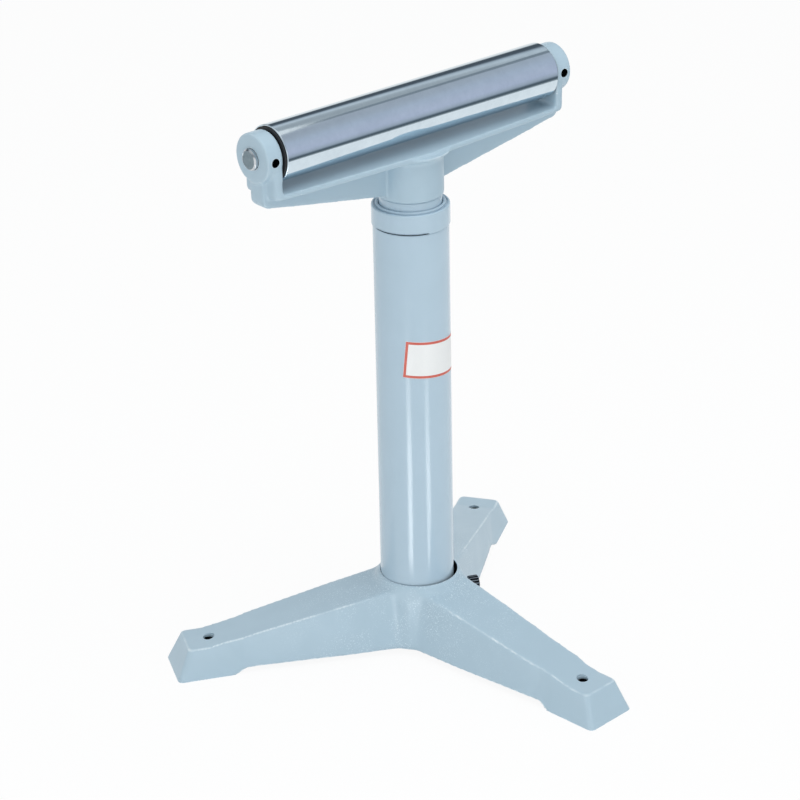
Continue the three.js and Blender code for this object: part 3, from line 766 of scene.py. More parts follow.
@dataclass(frozen=True)
class Moulded(Finish):
    """Moulded rubber or plastic: a dull even skin with a fine grain."""

    grain: float
    depth: float

    def fill(self, tree: bpy.types.NodeTree, shader: bpy.types.Node) -> None:
        """Adds the grain, which also lightens the tone a little where it stands up."""
        place = add_node(tree, "ShaderNodeTexCoord").outputs["Object"]
        grain = add_node(tree, "ShaderNodeTexNoise", {
            "Vector": place, "Scale": per_size(self.grain), "Detail": 4.0,
        })
        bump = add_node(tree, "ShaderNodeBump", {
            "Height": grain.outputs[0], "Distance": self.depth * MM, "Strength": 1.0,
        })
        tree.links.new(self.two_tone(tree, grain.outputs[0]), shader.inputs["Base Color"])
        tree.links.new(bump.outputs[0], shader.inputs["Normal"])


@dataclass(frozen=True)
class PaperLabel(Finish):
    """Coated paper sticker: white, with a printed red line set in from its edge, and a faint fibre."""

    width: float
    height: float
    border: float
    margin: float
    ink: str
    fibre: float = 0.8

    def fill(self, tree: bpy.types.NodeTree, shader: bpy.types.Node) -> None:
        """Adds the fibre, and the border where the distance to the nearest edge lies within its line."""
        coords = add_node(tree, "ShaderNodeTexCoord")
        across = add_node(tree, "ShaderNodeSeparateXYZ", {0: coords.outputs["UV"]})
        edges = []
        for place, length in ((across.outputs[0], self.width), (across.outputs[1], self.height)):
            share = add_node(tree, "ShaderNodeMath", {0: place, 1: 0.5}, operation="PINGPONG")
            edges.append(add_node(tree, "ShaderNodeMath", {0: share.outputs[0], 1: length},
                                  operation="MULTIPLY").outputs[0])
        nearest = add_node(tree, "ShaderNodeMath", {0: edges[0], 1: edges[1]}, operation="MINIMUM")
        line = add_node(tree, "ShaderNodeMath", {
            0: nearest.outputs[0], 1: self.margin + self.border / 2, 2: self.border / 2,
        }, operation="COMPARE")
        fibre = add_node(tree, "ShaderNodeTexNoise", {
            "Vector": coords.outputs["Object"], "Scale": per_size(self.fibre), "Detail": 4.0,
        })
        paper = self.two_tone(tree, fibre.outputs[0])
        printed = add_node(tree, "ShaderNodeMix", {"Factor": line.outputs[0], 6: paper, 7: linear(self.ink)},
                           data_type="RGBA")
        tree.links.new(printed.outputs[2], shader.inputs["Base Color"])


# Enamel over sand-cast iron: pale blue-grey, pebbled like the mould, with painted glints on the pebbles and painted
# highlights along the edges.
CAST_ENAMEL = PebbledEnamel("enamelled_cast_iron", "cast_enamel", "#b2c9d7", "#a9c0ce", 0.36,
                            peel=6.0, peel_depth=0.06, grit=1.7, grit_depth=0.02)
# Bored and drilled iron, never coated: dark and oily. In the seam under the collar its dark tone is also painted
# shade.
BARE_IRON_AND_SEAM_SHADE = BareMetal("bored_iron_and_seam_shade", "", "#3a3d40", "#232527", 0.45,
                      marks=Marks.PLAIN, spacing=0.8, depth=0.02, patch=5.0)
# Enamel over drawn tube: the same colour, nearly smooth, so that lamps show as upright streaks.
TUBE_ENAMEL = Enamel("enamelled_steel_tube", "enamel", "#b8cddc", "#b1c7d5", 0.15,
                     peel=4.0, peel_depth=0.012, grit=1.2, grit_depth=0.002)
# Ground and polished steel tube: a bluish mirror with rings of grinding marks and handling stains.
GROUND_STEEL = BareMetal("ground_steel_tube", "ground_steel", "#dceaf2", "#c4d2dc", 0.085,
                         marks=Marks.AROUND, spacing=1.1, depth=0.0035)
# Bar end faced in a lathe: dull, with rings about its middle.
TURNED_STEEL = BareMetal("turned_steel", "bright_steel", "#8d9da5", "#6c7b83", 0.42,
                         marks=Marks.CONCENTRIC, spacing=0.8, depth=0.02, patch=3.0)
# Drawn bright bar, as pins and spacers are made of.
BRIGHT_STEEL = BareMetal("drawn_bright_steel", "bright_steel", "#d3d8dc", "#b9bfc4", 0.2,
                         marks=Marks.PLAIN, spacing=1.6, depth=0.01)
# Hardened bearing rings and balls, lapped to a mirror.
BEARING_STEEL = BareMetal("lapped_bearing_steel", "bearing_steel", "#d6d9db", "#c2c6c9", 0.14,
                          marks=Marks.PLAIN, spacing=2.0, depth=0.002)
# Oxide-blackened screw steel: near black, with a satin sheen along the flutes.
BLACK_OXIDE = BareMetal("blackened_steel", "black_oxide", "#2a2d31", "#1a1c1f", 0.38,
                        marks=Marks.PLAIN, spacing=0.9, depth=0.01, patch=4.0)
# The same steel on fluted heads, with painted highlights along the crests.
FLUTED_STEEL = FlutedMetal("blackened_fluted_steel", "black_oxide", "#23262a", "#15171a", 0.34,
                           marks=Marks.PLAIN, spacing=0.9, depth=0.01, patch=4.0, flutes=16, crest_highlight="#8d99a3")
# Turned brass pad.
BRASS = BareMetal("turned_brass", "brass", "#c9ad66", "#a88c48", 0.30,
                  marks=Marks.PLAIN, spacing=1.0, depth=0.006, patch=5.0)
# Moulded nitrile rubber of the seals.
NITRILE = Moulded("moulded_nitrile", "nitrile", "#15161a", "#24262a", 0.55, grain=0.9, depth=0.02)
# Machined nylon of the guide ring.
NYLON = Moulded("machined_nylon", "nylon", "#26282a", "#34373a", 0.5, grain=1.2, depth=0.02)


def face_values(made: bpy.types.Object, name: str) -> np.ndarray:
    """Gives one vector of every face of an object.

    Args:
        made: The object.
        name: Which vector: "center", in metres, or "normal".

    Returns:
        Array of shape (faces, 3).
    """
    values = np.empty(len(made.data.polygons) * 3)
    made.data.polygons.foreach_get(name, values)
    return values.reshape(-1, 3)


def split_finish(made: bpy.types.Object, first: Finish, second: Finish, taken: np.ndarray) -> None:
    """Gives an object two finishes.

    Args:
        made: The object.
        first: The finish of most faces.
        second: The finish of the others.
        taken: Which faces take the second one.
    """
    for finish in (first, second):
        made.data.materials.append(finish.material())
    made.data.polygons.foreach_set("material_index", taken.astype(np.int32))


def coat_casting(made: bpy.types.Object) -> None:
    """Gives a casting its two finishes, the coat first, in the order of their skins.

    Args:
        made: The casting, before it is drilled.
    """
    made.data.materials.clear()
    for finish in (CAST_ENAMEL, BARE_IRON_AND_SEAM_SHADE):
        made.data.materials.append(finish.material())


# Base


@dataclass(frozen=True)
class Leg:
    """Which way one leg points, and half the gap to its neighbours on either hand, in degrees."""

    azimuth: float
    half_gap_before: float
    half_gap_after: float


@dataclass(frozen=True)
class TripodCasting:
    """Cast iron base: a bored hub and three tapering legs, hollow beneath, each on a raised foot."""

    height: float = 73.0
    hub_floor_radius: float = 52.5
    rim_radius: float = 41.2
    rim_round: float = 2.0
    shoulder: float = 10.0
    shoulder_height: float = 57.0
    fillet: float = 14.0
    underside: float = 6.0
    bore_radius: float = 38.5
    bore_lip: float = 1.1
    bore_floor: float = 16.0
    core_radius: float = 20.0
    draft: float = 0.105
    leg_draft: float = 0.18
    azimuths: Tuple[float, ...] = (155.0, 275.0, 393.3)
    root_half: float = 44.0
    neck_half: float = 30.3
    neck_reach: float = 172.0
    top_fall: float = 0.192
    arch_end: float = 186.0
    arch_rise: float = 5.0
    foot_reach: float = 255.0
    foot_start: float = 207.0
    foot_half: float = 29.3
    foot_draft: float = 0.256
    foot_top: float = 30.7
    foot_end_draft: float = 0.44
    foot_corner: float = 5.0
    hole_reach: float = 217.4
    hole_radius: float = 5.25
    hole_lip: float = 0.7
    coat: float = 0.15
    coat_depth: float = 2.6
    wall: float = 9.0
    pocket_start: float = 62.0
    screw_hole: float = 5.3
    screw_height: float = 45.5
    tube_slack: float = 1.7
    past: float = 2.0
    spare: float = 3.0
    grain: float = 1.56
    passes: int = 2
    ground: float = 5.0
    # Reach where the painted glints on the grains end, and over how far they fade out.
    glint_end: float = 165.0
    glint_fade: float = 110.0
    blend_end: float = 88.0
    blend_width: float = 35.0
    blend_passes: int = 12

    @property
    def screw_azimuth(self) -> float:
        """The clamp screw stands opposite the first leg."""
        return self.azimuths[0] + 180

    @property
    def centre(self) -> np.ndarray:
        """Middle of the hub: the screw pushes the tube against the far side of the bore."""
        way = math.radians(self.screw_azimuth)
        return self.tube_slack * np.array([math.cos(way), math.sin(way), 0])

    def legs(self) -> List[Leg]:
        """Returns the legs with the gaps between them."""
        after = np.diff(np.r_[self.azimuths, self.azimuths[0] + 360]) / 2
        return [Leg(*values) for values in zip(self.azimuths, np.roll(after, 1), after)]

    def top(self, reach: np.ndarray) -> np.ndarray:
        """Height of a leg's top: a plane that falls outwards down to the flat of the foot."""
        return np.maximum(self.height - reach * self.top_fall, self.foot_top)

    def half_outline(self, height: float, half_gap: float) -> np.ndarray:
        """Half of a leg's plan at a height: hub circle, fillet, straight side, foot and its rounded corner.

        The fillet's middle lies on the line that is one fillet radius outside the leg's side, at hub radius
        plus fillet radius from the hub's middle. A draft insets everything by a share of the height.

        Args:
            height: Height above the floor.
            half_gap: Angle in degrees from the leg to halfway to its neighbour.

        Returns:
            Array of shape (n, 2), from halfway between two legs out to the end of the foot.
        """
        inset = height * self.draft
        lean = height * self.leg_draft
        hub = self.hub_floor_radius - inset
        root = np.array([0, self.root_half - lean])
        neck = np.array([self.neck_reach, self.neck_half - lean])
        along = (neck - root) / np.linalg.norm(neck - root)
        outward = np.array([-along[1], along[0]])
        offset = root + outward * self.fillet
        lead = offset @ along
        run = math.sqrt(lead ** 2 - offset @ offset + (hub + self.fillet) ** 2) - lead
        middle = offset + along * run
        bearing = math.atan2(middle[1], middle[0])
        facing = math.atan2(outward[1], outward[0])
        end = self.foot_reach - height * self.foot_end_draft
        half = self.foot_half - height * self.foot_draft
        corner = (end - self.foot_corner, half - self.foot_corner)
        return np.concatenate([
            arc((0, 0), hub, math.radians(half_gap), bearing),
            arc(middle, self.fillet, bearing + math.pi, facing + math.pi)[1:],
            [neck, (self.foot_start, half)],
            arc(corner, self.foot_corner, math.pi / 2, 0),
        ])

    def walls(self) -> Surface:
        """The drafted outer wall: straight lines from the plan below the floor to the plan at full height."""
        rings = []
        for height in (-self.ground, self.height + self.past):
            turns = []
            for leg in self.legs():
                right = self.half_outline(height, leg.half_gap_before) * (1, -1)
                left = self.half_outline(height, leg.half_gap_after)[:0:-1]
                plan = np.concatenate([right, left])
                way = math.radians(leg.azimuth)
                turn = np.array([[math.cos(way), math.sin(way)], [-math.sin(way), math.cos(way)]])
                turns.append(plan @ turn)
            plan = np.concatenate(turns)
            rings.append(np.c_[plan, np.full(len(plan), height)])
        return prism(np.stack(rings))

    def box_along(self, reach: Sequence[float], half_low: Sequence[float], half_high: Sequence[float],
                  low: Sequence[float], high: Sequence[float]) -> Surface:
        """A bar along a leg whose four-cornered section changes from station to station.

        Args:
            reach: Distance of each station from the hub's middle.
            half_low: Half width at the bottom of each section.
            half_high: Half width at the top.
            low: Height of the bottom.
            high: Height of the top.

        Returns:
            The closed bar.
        """
        reach, half_low, half_high, low, high = np.broadcast_arrays(reach, half_low, half_high, low, high)
        section = [(half_low, low), (half_high, high), (-half_high, high), (-half_low, low)]
        return prism(np.stack([np.stack([reach, across, up], axis=-1) for across, up in section], axis=1))

    def upper_leg(self) -> Surface:
        """Top and underside of a leg, a little wider than the walls that trim it."""
        crease = (self.height - self.foot_top) / self.top_fall
        reach = np.array([0, self.arch_end, self.foot_start, crease, self.foot_reach + self.past])
        under = np.array([self.underside, self.arch_rise, -self.ground, -self.ground, -self.ground])
        wide = np.interp(reach, [0, self.neck_reach], [self.root_half, self.neck_half]) + self.spare
        return self.box_along(reach, wide, wide - self.top(reach) * self.leg_draft, under, self.top(reach))

    def pocket(self) -> Surface:
        """The hollow under a leg, one wall thickness inside its sides and top."""
        reach = np.array([self.pocket_start, self.neck_reach])
        side = np.interp(reach, [0, self.neck_reach], [self.root_half, self.neck_half]) - self.wall
        high = self.top(reach) - self.wall
        return self.box_along(reach, side, side - high * self.leg_draft, -self.past, high)

    def hub(self) -> Surface:
        """Drafted round hub that slopes in, over a rounded shoulder, to a thin rim."""
        return revolve(rounded_path([
            (0, self.underside, 0),
            (self.hub_floor_radius - self.underside * self.draft, self.underside, 0),
            (self.hub_floor_radius - self.shoulder_height * self.draft, self.shoulder_height, self.shoulder),
            (self.rim_radius, self.height, self.rim_round),
            (0, self.height, 0),
        ]))

    def drill(self, radius: float, low: float, high: float, axis: Axis = Axis.Z) -> Surface:
        """A straight round hole from one place along an axis to another, as the solid to take away."""
        return revolve(np.array([(0, low), (radius, low), (radius, high), (0, high)]), axis)

    def eased_rim(self, radius: float, top: float, lip: float) -> Surface:
        """The solid that eases a hole's rim: a quarter circle flares from the wall out to the face above it.

        Args:
            radius: The hole's radius.
            top: Height of the face that it opens in.
            lip: Radius of the eased rim.

        Returns:
            The solid to take away.
        """
        rim = arc((radius + lip, top - lip), lip, math.pi, math.pi / 2)
        above = top + self.past
        return revolve(np.concatenate([[(0, top - lip)], rim, [(radius + lip, above), (0, above)]]))

    def machining(self) -> List[Surface]:
        """Everything that is left bare: ground soles, bore, core hole, bolt holes and the tapped hole."""
        bolt = self.drill(self.hole_radius, -self.past, self.height).moved((self.hole_reach, 0, 0))
        tapped = self.drill(self.screw_hole, self.bore_radius - self.past, self.hub_floor_radius + self.past, Axis.X)
        return [
            self.drill(self.bore_radius, self.bore_floor, self.height + self.past),
            self.drill(self.core_radius, -self.past, self.bore_floor + self.past),
            tapped.moved((0, 0, self.screw_height)).turned(self.screw_azimuth),
            self.drill(2 * self.foot_reach, -2 * self.ground, 0),
        ] + [bolt.turned(azimuth) for azimuth in self.azimuths]

    def easing(self) -> List[Surface]:
        """The rims of the bore and the bolt holes, which the coat covers, a little way down the holes too."""
        coated = self.drill(self.hole_radius + self.coat, self.foot_top - self.coat_depth, self.height)
        rim = self.eased_rim(self.hole_radius, self.foot_top, self.hole_lip)
        cuts = [cut.moved((self.hole_reach, 0, 0)) for cut in (coated, rim)]
        return [self.eased_rim(self.bore_radius, self.height, self.bore_lip)] + [
            cut.turned(azimuth) for azimuth in self.azimuths for cut in cuts]

    def build(self) -> bpy.types.Object:
        """Builds the casting.

        Returns:
            The piece, which stands for the CAD base.
        """
        made = raw_object("tripod_casting", self.hub().moved(self.centre))
        for azimuth in self.azimuths:
            combine(made, self.upper_leg().turned(azimuth).moved(self.centre), Cut.ADD)
        combine(made, self.walls().moved(self.centre), Cut.KEEP)
        pockets = [self.pocket().turned(azimuth) for azimuth in self.azimuths]
        combine(made, joined(pockets).moved(self.centre), Cut.REMOVE)
        melt(made, self.grain)
        reach = np.linalg.norm((mesh_points(made) - self.centre)[:, :2], axis=1)
        soften(made, np.ones_like(reach), self.passes)
        soften(made, np.clip((self.blend_end - reach) / self.blend_width, 0, 1), self.blend_passes)
        coat_casting(made)
        for hole in self.machining():
            combine(made, hole.moved(self.centre), Cut.REMOVE, Skin.MACHINED)
        for rim in self.easing():
            combine(made, rim.moved(self.centre), Cut.REMOVE)
        mark_edges(made)
        reach = np.linalg.norm((mesh_points(made) - self.centre)[:, :2], axis=1)
        # Where painted glints show: near the hub, fading out along the legs.
        note(made, "grains", np.clip((self.glint_end - reach) / self.glint_fade, 0, 1))
        return finish_piece(made, CAST_ENAMEL, Body.BASE, "tripod_base")


# Screws


@dataclass(frozen=True)
class SocketScrew:
    """Screw along Z from its tip, with a six-sided socket and, where it has a head, flutes round it."""

    length: float
    radius: float
    head_length: float
    head_radius: float
    flutes: int
    flute_depth: float
    socket_flats: float
    socket_depth: float
    point: float = 1.0
    ease: float = 0.7

    def surface(self) -> Surface:
        """Carries the screw's profile round its axis.

        Each station of the profile has a radius, a share of fluting, which takes off a raised cosine of the
        angle, and a share of socket, which swaps the circle for a hexagon: half the flats over the cosine of
        the angle to the nearest flat's middle.

        Returns:
            The closed surface.
        """
        top = self.length + self.head_length
        stations = np.array([
            (0.0, 0.0, 0, 0),
            (self.radius - self.point, 0.0, 0, 0),
            (self.radius, self.point, 0, 0),
            (self.radius, self.length, 0, 0),
            (self.head_radius - self.ease, self.length, 0.6, 0),
            (self.head_radius, self.length + self.ease, 1, 0),
            (self.head_radius, top - self.ease, 1, 0),
            (self.head_radius - self.ease, top, 0.6, 0),
            (0.0, top, 0, 1),
            (0.0, top - self.socket_depth, 0, 1),
            (0.0, top - self.socket_depth, 0, 0),
        ])
        turn = np.linspace(0, FULL_TURN, TURN_STEPS, endpoint=False)[:, None]
        radius, along, fluted, socket = (column[None] for column in stations.T)
        dip = self.flute_depth * (1 - np.cos(self.flutes * turn)) / 2
        sector = FULL_TURN / 6
        hexagon = self.socket_flats / 2 / np.cos((turn % sector) - sector / 2)
        across = radius - fluted * dip + socket * hexagon
        points = np.stack([across * np.cos(turn), across * np.sin(turn), along + 0 * turn], axis=-1)
        return grid(points, wrap_u=True)

    def pointing(self, azimuth: float, radius: float, height: float) -> Surface:
        """Lays the screw along a radius of the column.

        Args:
            azimuth: Direction of its head in degrees.
            radius: Distance of its tip from the axis.
            height: Height of its axis.

        Returns:
            The placed surface.
        """
        upright = self.surface()
        laid = Surface(upright.points[:, [2, 0, 1]], upright.faces, upright.uvs)
        return laid.moved((radius, 0, height)).turned(azimuth)


# Column


@dataclass(frozen=True)
class Column:
    """Steel tube with a guide collar on top, the label on it, and the two screws that hold things in it."""

    tube_radius: float = 36.5
    tube_wall: float = 3.5
    tube_edge: float = 0.8
    # Radius inside which faces are dark bare iron, which is painted shade in the collar's seam.
    coat_and_shade_reach: float = 36.0
    collar_radius: float = 37.6
    collar_edge: float = 1.4
    collar_foot_edge: float = 0.6
    collar_bore: float = 30.5
    groove_outer: float = 35.4
    groove_depth: float = 1.3
    bead_radius: float = 33.6
    bead_inner: float = 31.2
    bead_rise: float = 1.7
    seam_closed: float = 0.3
    seam_open: float = 1.7
    seam_start: float = -188.0
    seam_end: float = -108.0
    seam_fade: float = 6.0
    label_width: float = 76.0
    label_height: float = 38.0
    label_left: float = -144.3
    label_middle: float = 318.3
    label_tilt: float = -5.5
    label_lift: float = 0.05
    label_thickness: float = 0.1
    lock_azimuth: float = 49.0
    screw_radius: float = 5.0
    head_radius: float = 8.0
    head_length: float = 10.0

    def tube(self) -> bpy.types.Object:
        """Builds the plain tube: a ring profile carried round the column axis.

        Returns:
            The piece.
        """
        low, high = node_box("column_tube")
        inner = self.tube_radius - self.tube_wall
        profile = rounded_path([
            (self.tube_radius, low[2], self.tube_edge), (self.tube_radius, high[2], self.tube_edge),
            (inner, high[2], self.tube_edge), (inner, low[2], self.tube_edge),
        ], closed=True)
        made = raw_object("column_tube_skin", revolve(profile, ring=True))
        middles = face_values(made, "center") / MM - COLUMN_AXIS
        # Bore and ends are bare iron; the top end, inside the collar's seam, is dark as painted shade.
        split_finish(made, TUBE_ENAMEL, BARE_IRON_AND_SEAM_SHADE, np.linalg.norm(middles[:, :2], axis=1) < self.coat_and_shade_reach)
        return finish_piece(made, TUBE_ENAMEL, Body.BASE, "column_tube")

    def collar(self) -> bpy.types.Object:
        """Builds the collar: a ring with an eased rim, a groove and a wiper lip round its bore, over a skirt.

        Its lower face is carried round with the rest, lifted by a height that a smooth step takes away on the
        side where paint has closed the seam.

        Returns:
            The piece.
        """
        low, high = node_box("column_collar")
        top, seat = high[2], node_box("column_tube")[1][2]
        skirt = self.tube_radius - self.tube_wall - self.seam_closed
        profile = rounded_path([
            (skirt, low[2], 0), (skirt, seat + self.seam_closed, 0),
            (self.collar_radius, seat + self.seam_closed, self.collar_foot_edge),
            (self.collar_radius, top, self.collar_edge),
            (self.groove_outer, top, 0.5), (self.groove_outer, top - self.groove_depth, 0.4),
            (self.bead_radius, top - self.groove_depth, 0.4), (self.bead_radius, top + self.bead_rise, 0.8),
            (self.bead_inner, top + self.bead_rise, 0.5), (self.collar_bore, top, 0.2), (self.collar_bore, low[2], 0),
        ], closed=True)
        surface = revolve(profile, ring=True)
        points = surface.points
        azimuth = np.degrees(np.arctan2(points[:, 1], points[:, 0]))
        past = np.clip(((azimuth - self.seam_end) % 360) / self.seam_fade, 0, 1)
        before = np.clip(((self.seam_start - azimuth) % 360) / self.seam_fade, 0, 1)
        share = 1 - past * before * ((azimuth - self.seam_end) % 360 < (self.seam_start - self.seam_end) % 360)
        foot = (points[:, 2] > low[2] + self.seam_closed) & (points[:, 2] < seat + 2 * self.collar_foot_edge)
        lift = np.where(foot, (self.seam_open - self.seam_closed) * share, 0)
        lifted = Surface(points + np.c_[0 * lift, 0 * lift, lift], surface.faces, surface.uvs)
        made = raw_object("collar_ring", lifted)
        middles = face_values(made, "center") / MM - COLUMN_AXIS
        # The skirt and lower face inside the seam are dark bare iron, painted shade in the seam.
        seam_shade = (np.linalg.norm(middles[:, :2], axis=1) < self.coat_and_shade_reach) & (middles[:, 2] < seat + self.seam_open + 0.5)
        split_finish(made, TUBE_ENAMEL, BARE_IRON_AND_SEAM_SHADE, seam_shade)
        return finish_piece(made, TUBE_ENAMEL, Body.BASE, "column_collar")

    def label(self) -> bpy.types.Object:
        """Builds the bare sticker: a flat sheet, turned by its tilt, rolled on to the tube.

        A point's distance along the turned sheet, over the tube's radius, is its angle round the tube.

        Returns:
            The piece.
        """
        across, up = np.meshgrid(np.linspace(0, 1, 49), np.linspace(0, 1, 17), indexing="ij")
        x = across * self.label_width
        z = (up - 0.5) * self.label_height
        tilt = math.radians(self.label_tilt)
        along = x * math.cos(tilt) - z * math.sin(tilt)
        rise = x * math.sin(tilt) + z * math.cos(tilt)
        radius = self.tube_radius + self.label_lift + self.label_thickness
        angle = math.radians(self.label_left) + along / radius
        points = np.stack([radius * np.cos(angle), radius * np.sin(angle), self.label_middle + rise], axis=-1)
        made = raw_object("blank_label", grid(points, uvs=np.stack([across, up], axis=-1)))
        sheet = made.modifiers.new("thickness", "SOLIDIFY")
        sheet.thickness = self.label_thickness * MM
        sheet.offset = -1.0
        settle(made)
        paper = PaperLabel("printed_paper", "", "#f3f3f1", "#e9ebec", 0.4, width=self.label_width,
                           height=self.label_height, border=2.6, margin=0.2, ink="#cf5e4e")
        return finish_piece(made, paper, Body.BASE)

    def screw(self, node: str, name: str, azimuth: float, body: Body) -> bpy.types.Object:
        """Builds one fluted screw where its CAD node is.

        Args:
            node: The CAD node that it stands for.
            name: The piece's name.
            azimuth: Direction of its head in degrees.
            body: The body that it rides on.

        Returns:
            The piece.
        """
        middle = node_middle(node) - COLUMN_AXIS
        way = np.array([math.cos(math.radians(azimuth)), math.sin(math.radians(azimuth))])
        reach = mesh_points(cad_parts[node])[:, :2] @ way
        screw = SocketScrew(length=reach.max() - reach.min() - self.head_length, radius=self.screw_radius,
                            head_length=self.head_length, head_radius=self.head_radius, flutes=16,
                            flute_depth=1.1, socket_flats=8.0, socket_depth=6.0)
        made = raw_object(name, screw.pointing(azimuth, reach.min(), middle[2]))
        return finish_piece(made, FLUTED_STEEL, body, node)

    def build(self, base: TripodCasting) -> None:
        """Builds the tube, collar, label and screws.

        Args:
            base: The casting that the column stands in.
        """
        self.tube()
        self.collar()
        self.label()
        self.screw("column_clamp_screw", "clamp_screw", base.screw_azimuth, Body.BASE)
        self.screw("height_lock_screw", "lock_screw", self.lock_azimuth, Body.LOCK_SCREW)


# Head


@dataclass(frozen=True)
class Yoke:
    """Cast yoke: a round neck, a flange on a tapering web, and two ears with bosses for the axle."""

    neck_radius: float = 32.0
    neck_height: float = 43.2
    neck_ease: float = 0.8
    neck_fillet: float = 7.0
    spigot_radius: float = 25.85
    spigot_length: float = 40.0
    flange_thickness: float = 5.5
    bulge: float = 15.0
    ear_half: float = 22.5
    ear_inner: float = 168.4
    ear_thickness: float = 9.6
    ear_corner: float = 5.0
    ear_round: float = 4.0
    rib: float = 4.5
    rib_corner: float = 7.0
    web_half_hub: float = 4.0
    web_half_ear: float = 9.5
    web_depth_hub: float = 38.0
    web_depth_ear: float = 11.4
    boss_radius: float = 23.75
    boss_width: float = 17.8
    boss_edge: float = 1.8
    axle_bore: float = 10.3
    screw_hole: float = 4.3
    grain: float = 1.1
    passes: int = 4
    blend: float = 18.0
    blend_passes: int = 9

    @property
    def bottom(self) -> float:
        """Height of the neck's lower face."""
        return node_box("yoke")[0][2] + self.spigot_length

    @property
    def flange_bottom(self) -> float:
        """Height of the flange's underside."""
        return self.bottom + self.neck_height

    @property
    def axis_height(self) -> float:
        """Height of the axle."""
        return node_middle("axle")[2]

    @property
    def ear_outer(self) -> float:
        """Distance of the ears' outer faces from the column."""
        return self.ear_inner + self.ear_thickness

    @property
    def boss_middle(self) -> float:
        """Distance of the bosses' middles from the column."""
        return self.ear_inner + self.boss_width / 2

    def neck(self) -> Surface:
        """Spigot, neck and the fillet that spreads it into the flange, carried round the column axis."""
        flange = self.flange_bottom
        fillet = arc((self.neck_radius + self.neck_fillet, flange - self.neck_fillet), self.neck_fillet,
                     math.pi, math.pi / 2)
        profile = np.concatenate([
            [(0, self.bottom - self.spigot_length), (self.spigot_radius, self.bottom - self.spigot_length),
             (self.spigot_radius, self.bottom), (self.neck_radius - self.neck_ease, self.bottom),
             (self.neck_radius, self.bottom + self.neck_ease)],
            fillet,
            [(self.neck_radius + self.neck_fillet, flange + self.flange_thickness / 2),
             (0, flange + self.flange_thickness / 2)],
        ])
        return revolve(profile)

    def flange(self) -> Surface:
        """Plate under the roller: its plan runs straight from the ears to a round bulge over the neck."""
        spread = math.radians(self.bulge)
        far = np.concatenate([
            [(-self.ear_outer + self.ear_round, self.ear_half)],
            arc((0, 0), self.neck_radius + 1.2, math.pi / 2 + spread, math.pi / 2 - spread),
            [(self.ear_outer - self.ear_round, self.ear_half)],
        ])
        plan = np.concatenate([far, far[::-1] * (1, -1)])
        heights = (self.flange_bottom, self.flange_bottom + self.flange_thickness)
        return prism(np.stack([np.c_[plan, np.full(len(plan), height)] for height in heights]))

    def web(self, side: Side) -> Surface:
        """Web from the neck to an ear, then up the ear as a rib.

        Its depth and thickness change evenly from the neck to the ear. Its lower edge turns up round a
        quarter circle at the end, where its top jumps from the flange to the axle.

        Args:
            side: Which end it goes to.

        Returns:
            The closed bar.
        """
        end = self.ear_outer + self.rib
        turn_up = arc((end - self.rib_corner, self.rib_corner), self.rib_corner, -math.pi / 2, 0)
        under = self.flange_bottom + self.flange_thickness / 2
        start = np.array([(self.neck_radius / 2, 0.0), (self.ear_inner + 1, 0.0)])
        across, lift = np.concatenate([start, turn_up]).T
        top = np.where(np.arange(len(across)) < len(start), under, self.axis_height)
        share = (across - self.neck_radius) / (self.ear_inner - self.neck_radius)
        half = self.web_half_hub + share * (self.web_half_ear - self.web_half_hub)
        low = self.flange_bottom - self.web_depth_hub - share * (self.web_depth_ear - self.web_depth_hub) + lift
        section = [(half, low), (half, top), (-half, top), (-half, low)]
        return prism(np.stack([np.stack([side.value * across, y, z], axis=-1) for y, z in section], axis=1))

    def ear(self, side: Side) -> Surface:
        """Upright plate from the flange to the axle, with a rounded outer edge front and back.

        Its side view is carried across the stand. Near the front and back its outer face follows a quarter
        circle: set in by the radius less the root of radius squared less overlap squared.

        Args:
            side: Which end it is.

        Returns:
            The closed plate.
        """
        straight = self.ear_half - self.ear_round
        ends = straight + self.ear_round * np.sin(np.linspace(0, math.pi / 2, ARC_STEPS + 1))
        across = np.r_[-ends[::-1], ends]
        over = np.maximum(np.abs(across) - straight, 0)
        inset = self.ear_round - np.sqrt(np.maximum(self.ear_round ** 2 - over ** 2, 0))
        low, high = self.flange_bottom, self.axis_height
        outer = rounded_path([
            (self.ear_inner, high, 0), (self.ear_inner, low, 0),
            (self.ear_outer, low, self.ear_corner), (self.ear_outer, high, 0),
        ])
        share = (outer[:, 0] - self.ear_inner) / self.ear_thickness
        x = outer[None, :, 0] - inset[:, None] * share[None]
        y, z = np.broadcast_arrays(across[:, None], outer[None, :, 1])
        return prism(np.stack([side.value * x, y, z], axis=-1))

    def boss(self, side: Side) -> Surface:
        """Round boss on an ear, with eased rims, about the axle."""
        outer = self.ear_inner + self.boss_width
        profile = rounded_path([
            (0, self.ear_inner, 0), (self.boss_radius, self.ear_inner, self.boss_edge),
            (self.boss_radius, outer, self.boss_edge), (0, outer, 0),
        ]) * (1, side.value)
        return revolve(profile, Axis.X).moved((0, 0, self.axis_height))

    def holes(self) -> List[Surface]:
        """Returns the axle's bore and the two set screw holes."""
        end = self.ear_outer + self.boss_width
        bore = revolve(np.array([(0, -end), (self.axle_bore, -end), (self.axle_bore, end), (0, end)]), Axis.X)
        depth = 2 * self.boss_radius
        drill = revolve(np.array([(0, 0), (self.screw_hole, 0), (self.screw_hole, depth), (0, depth)]), Axis.X)
        front = drill.turned(-90)
        places = [(side.value * self.boss_middle, 0, self.axis_height) for side in Side]
        return [bore.moved((0, 0, self.axis_height))] + [front.moved(place) for place in places]

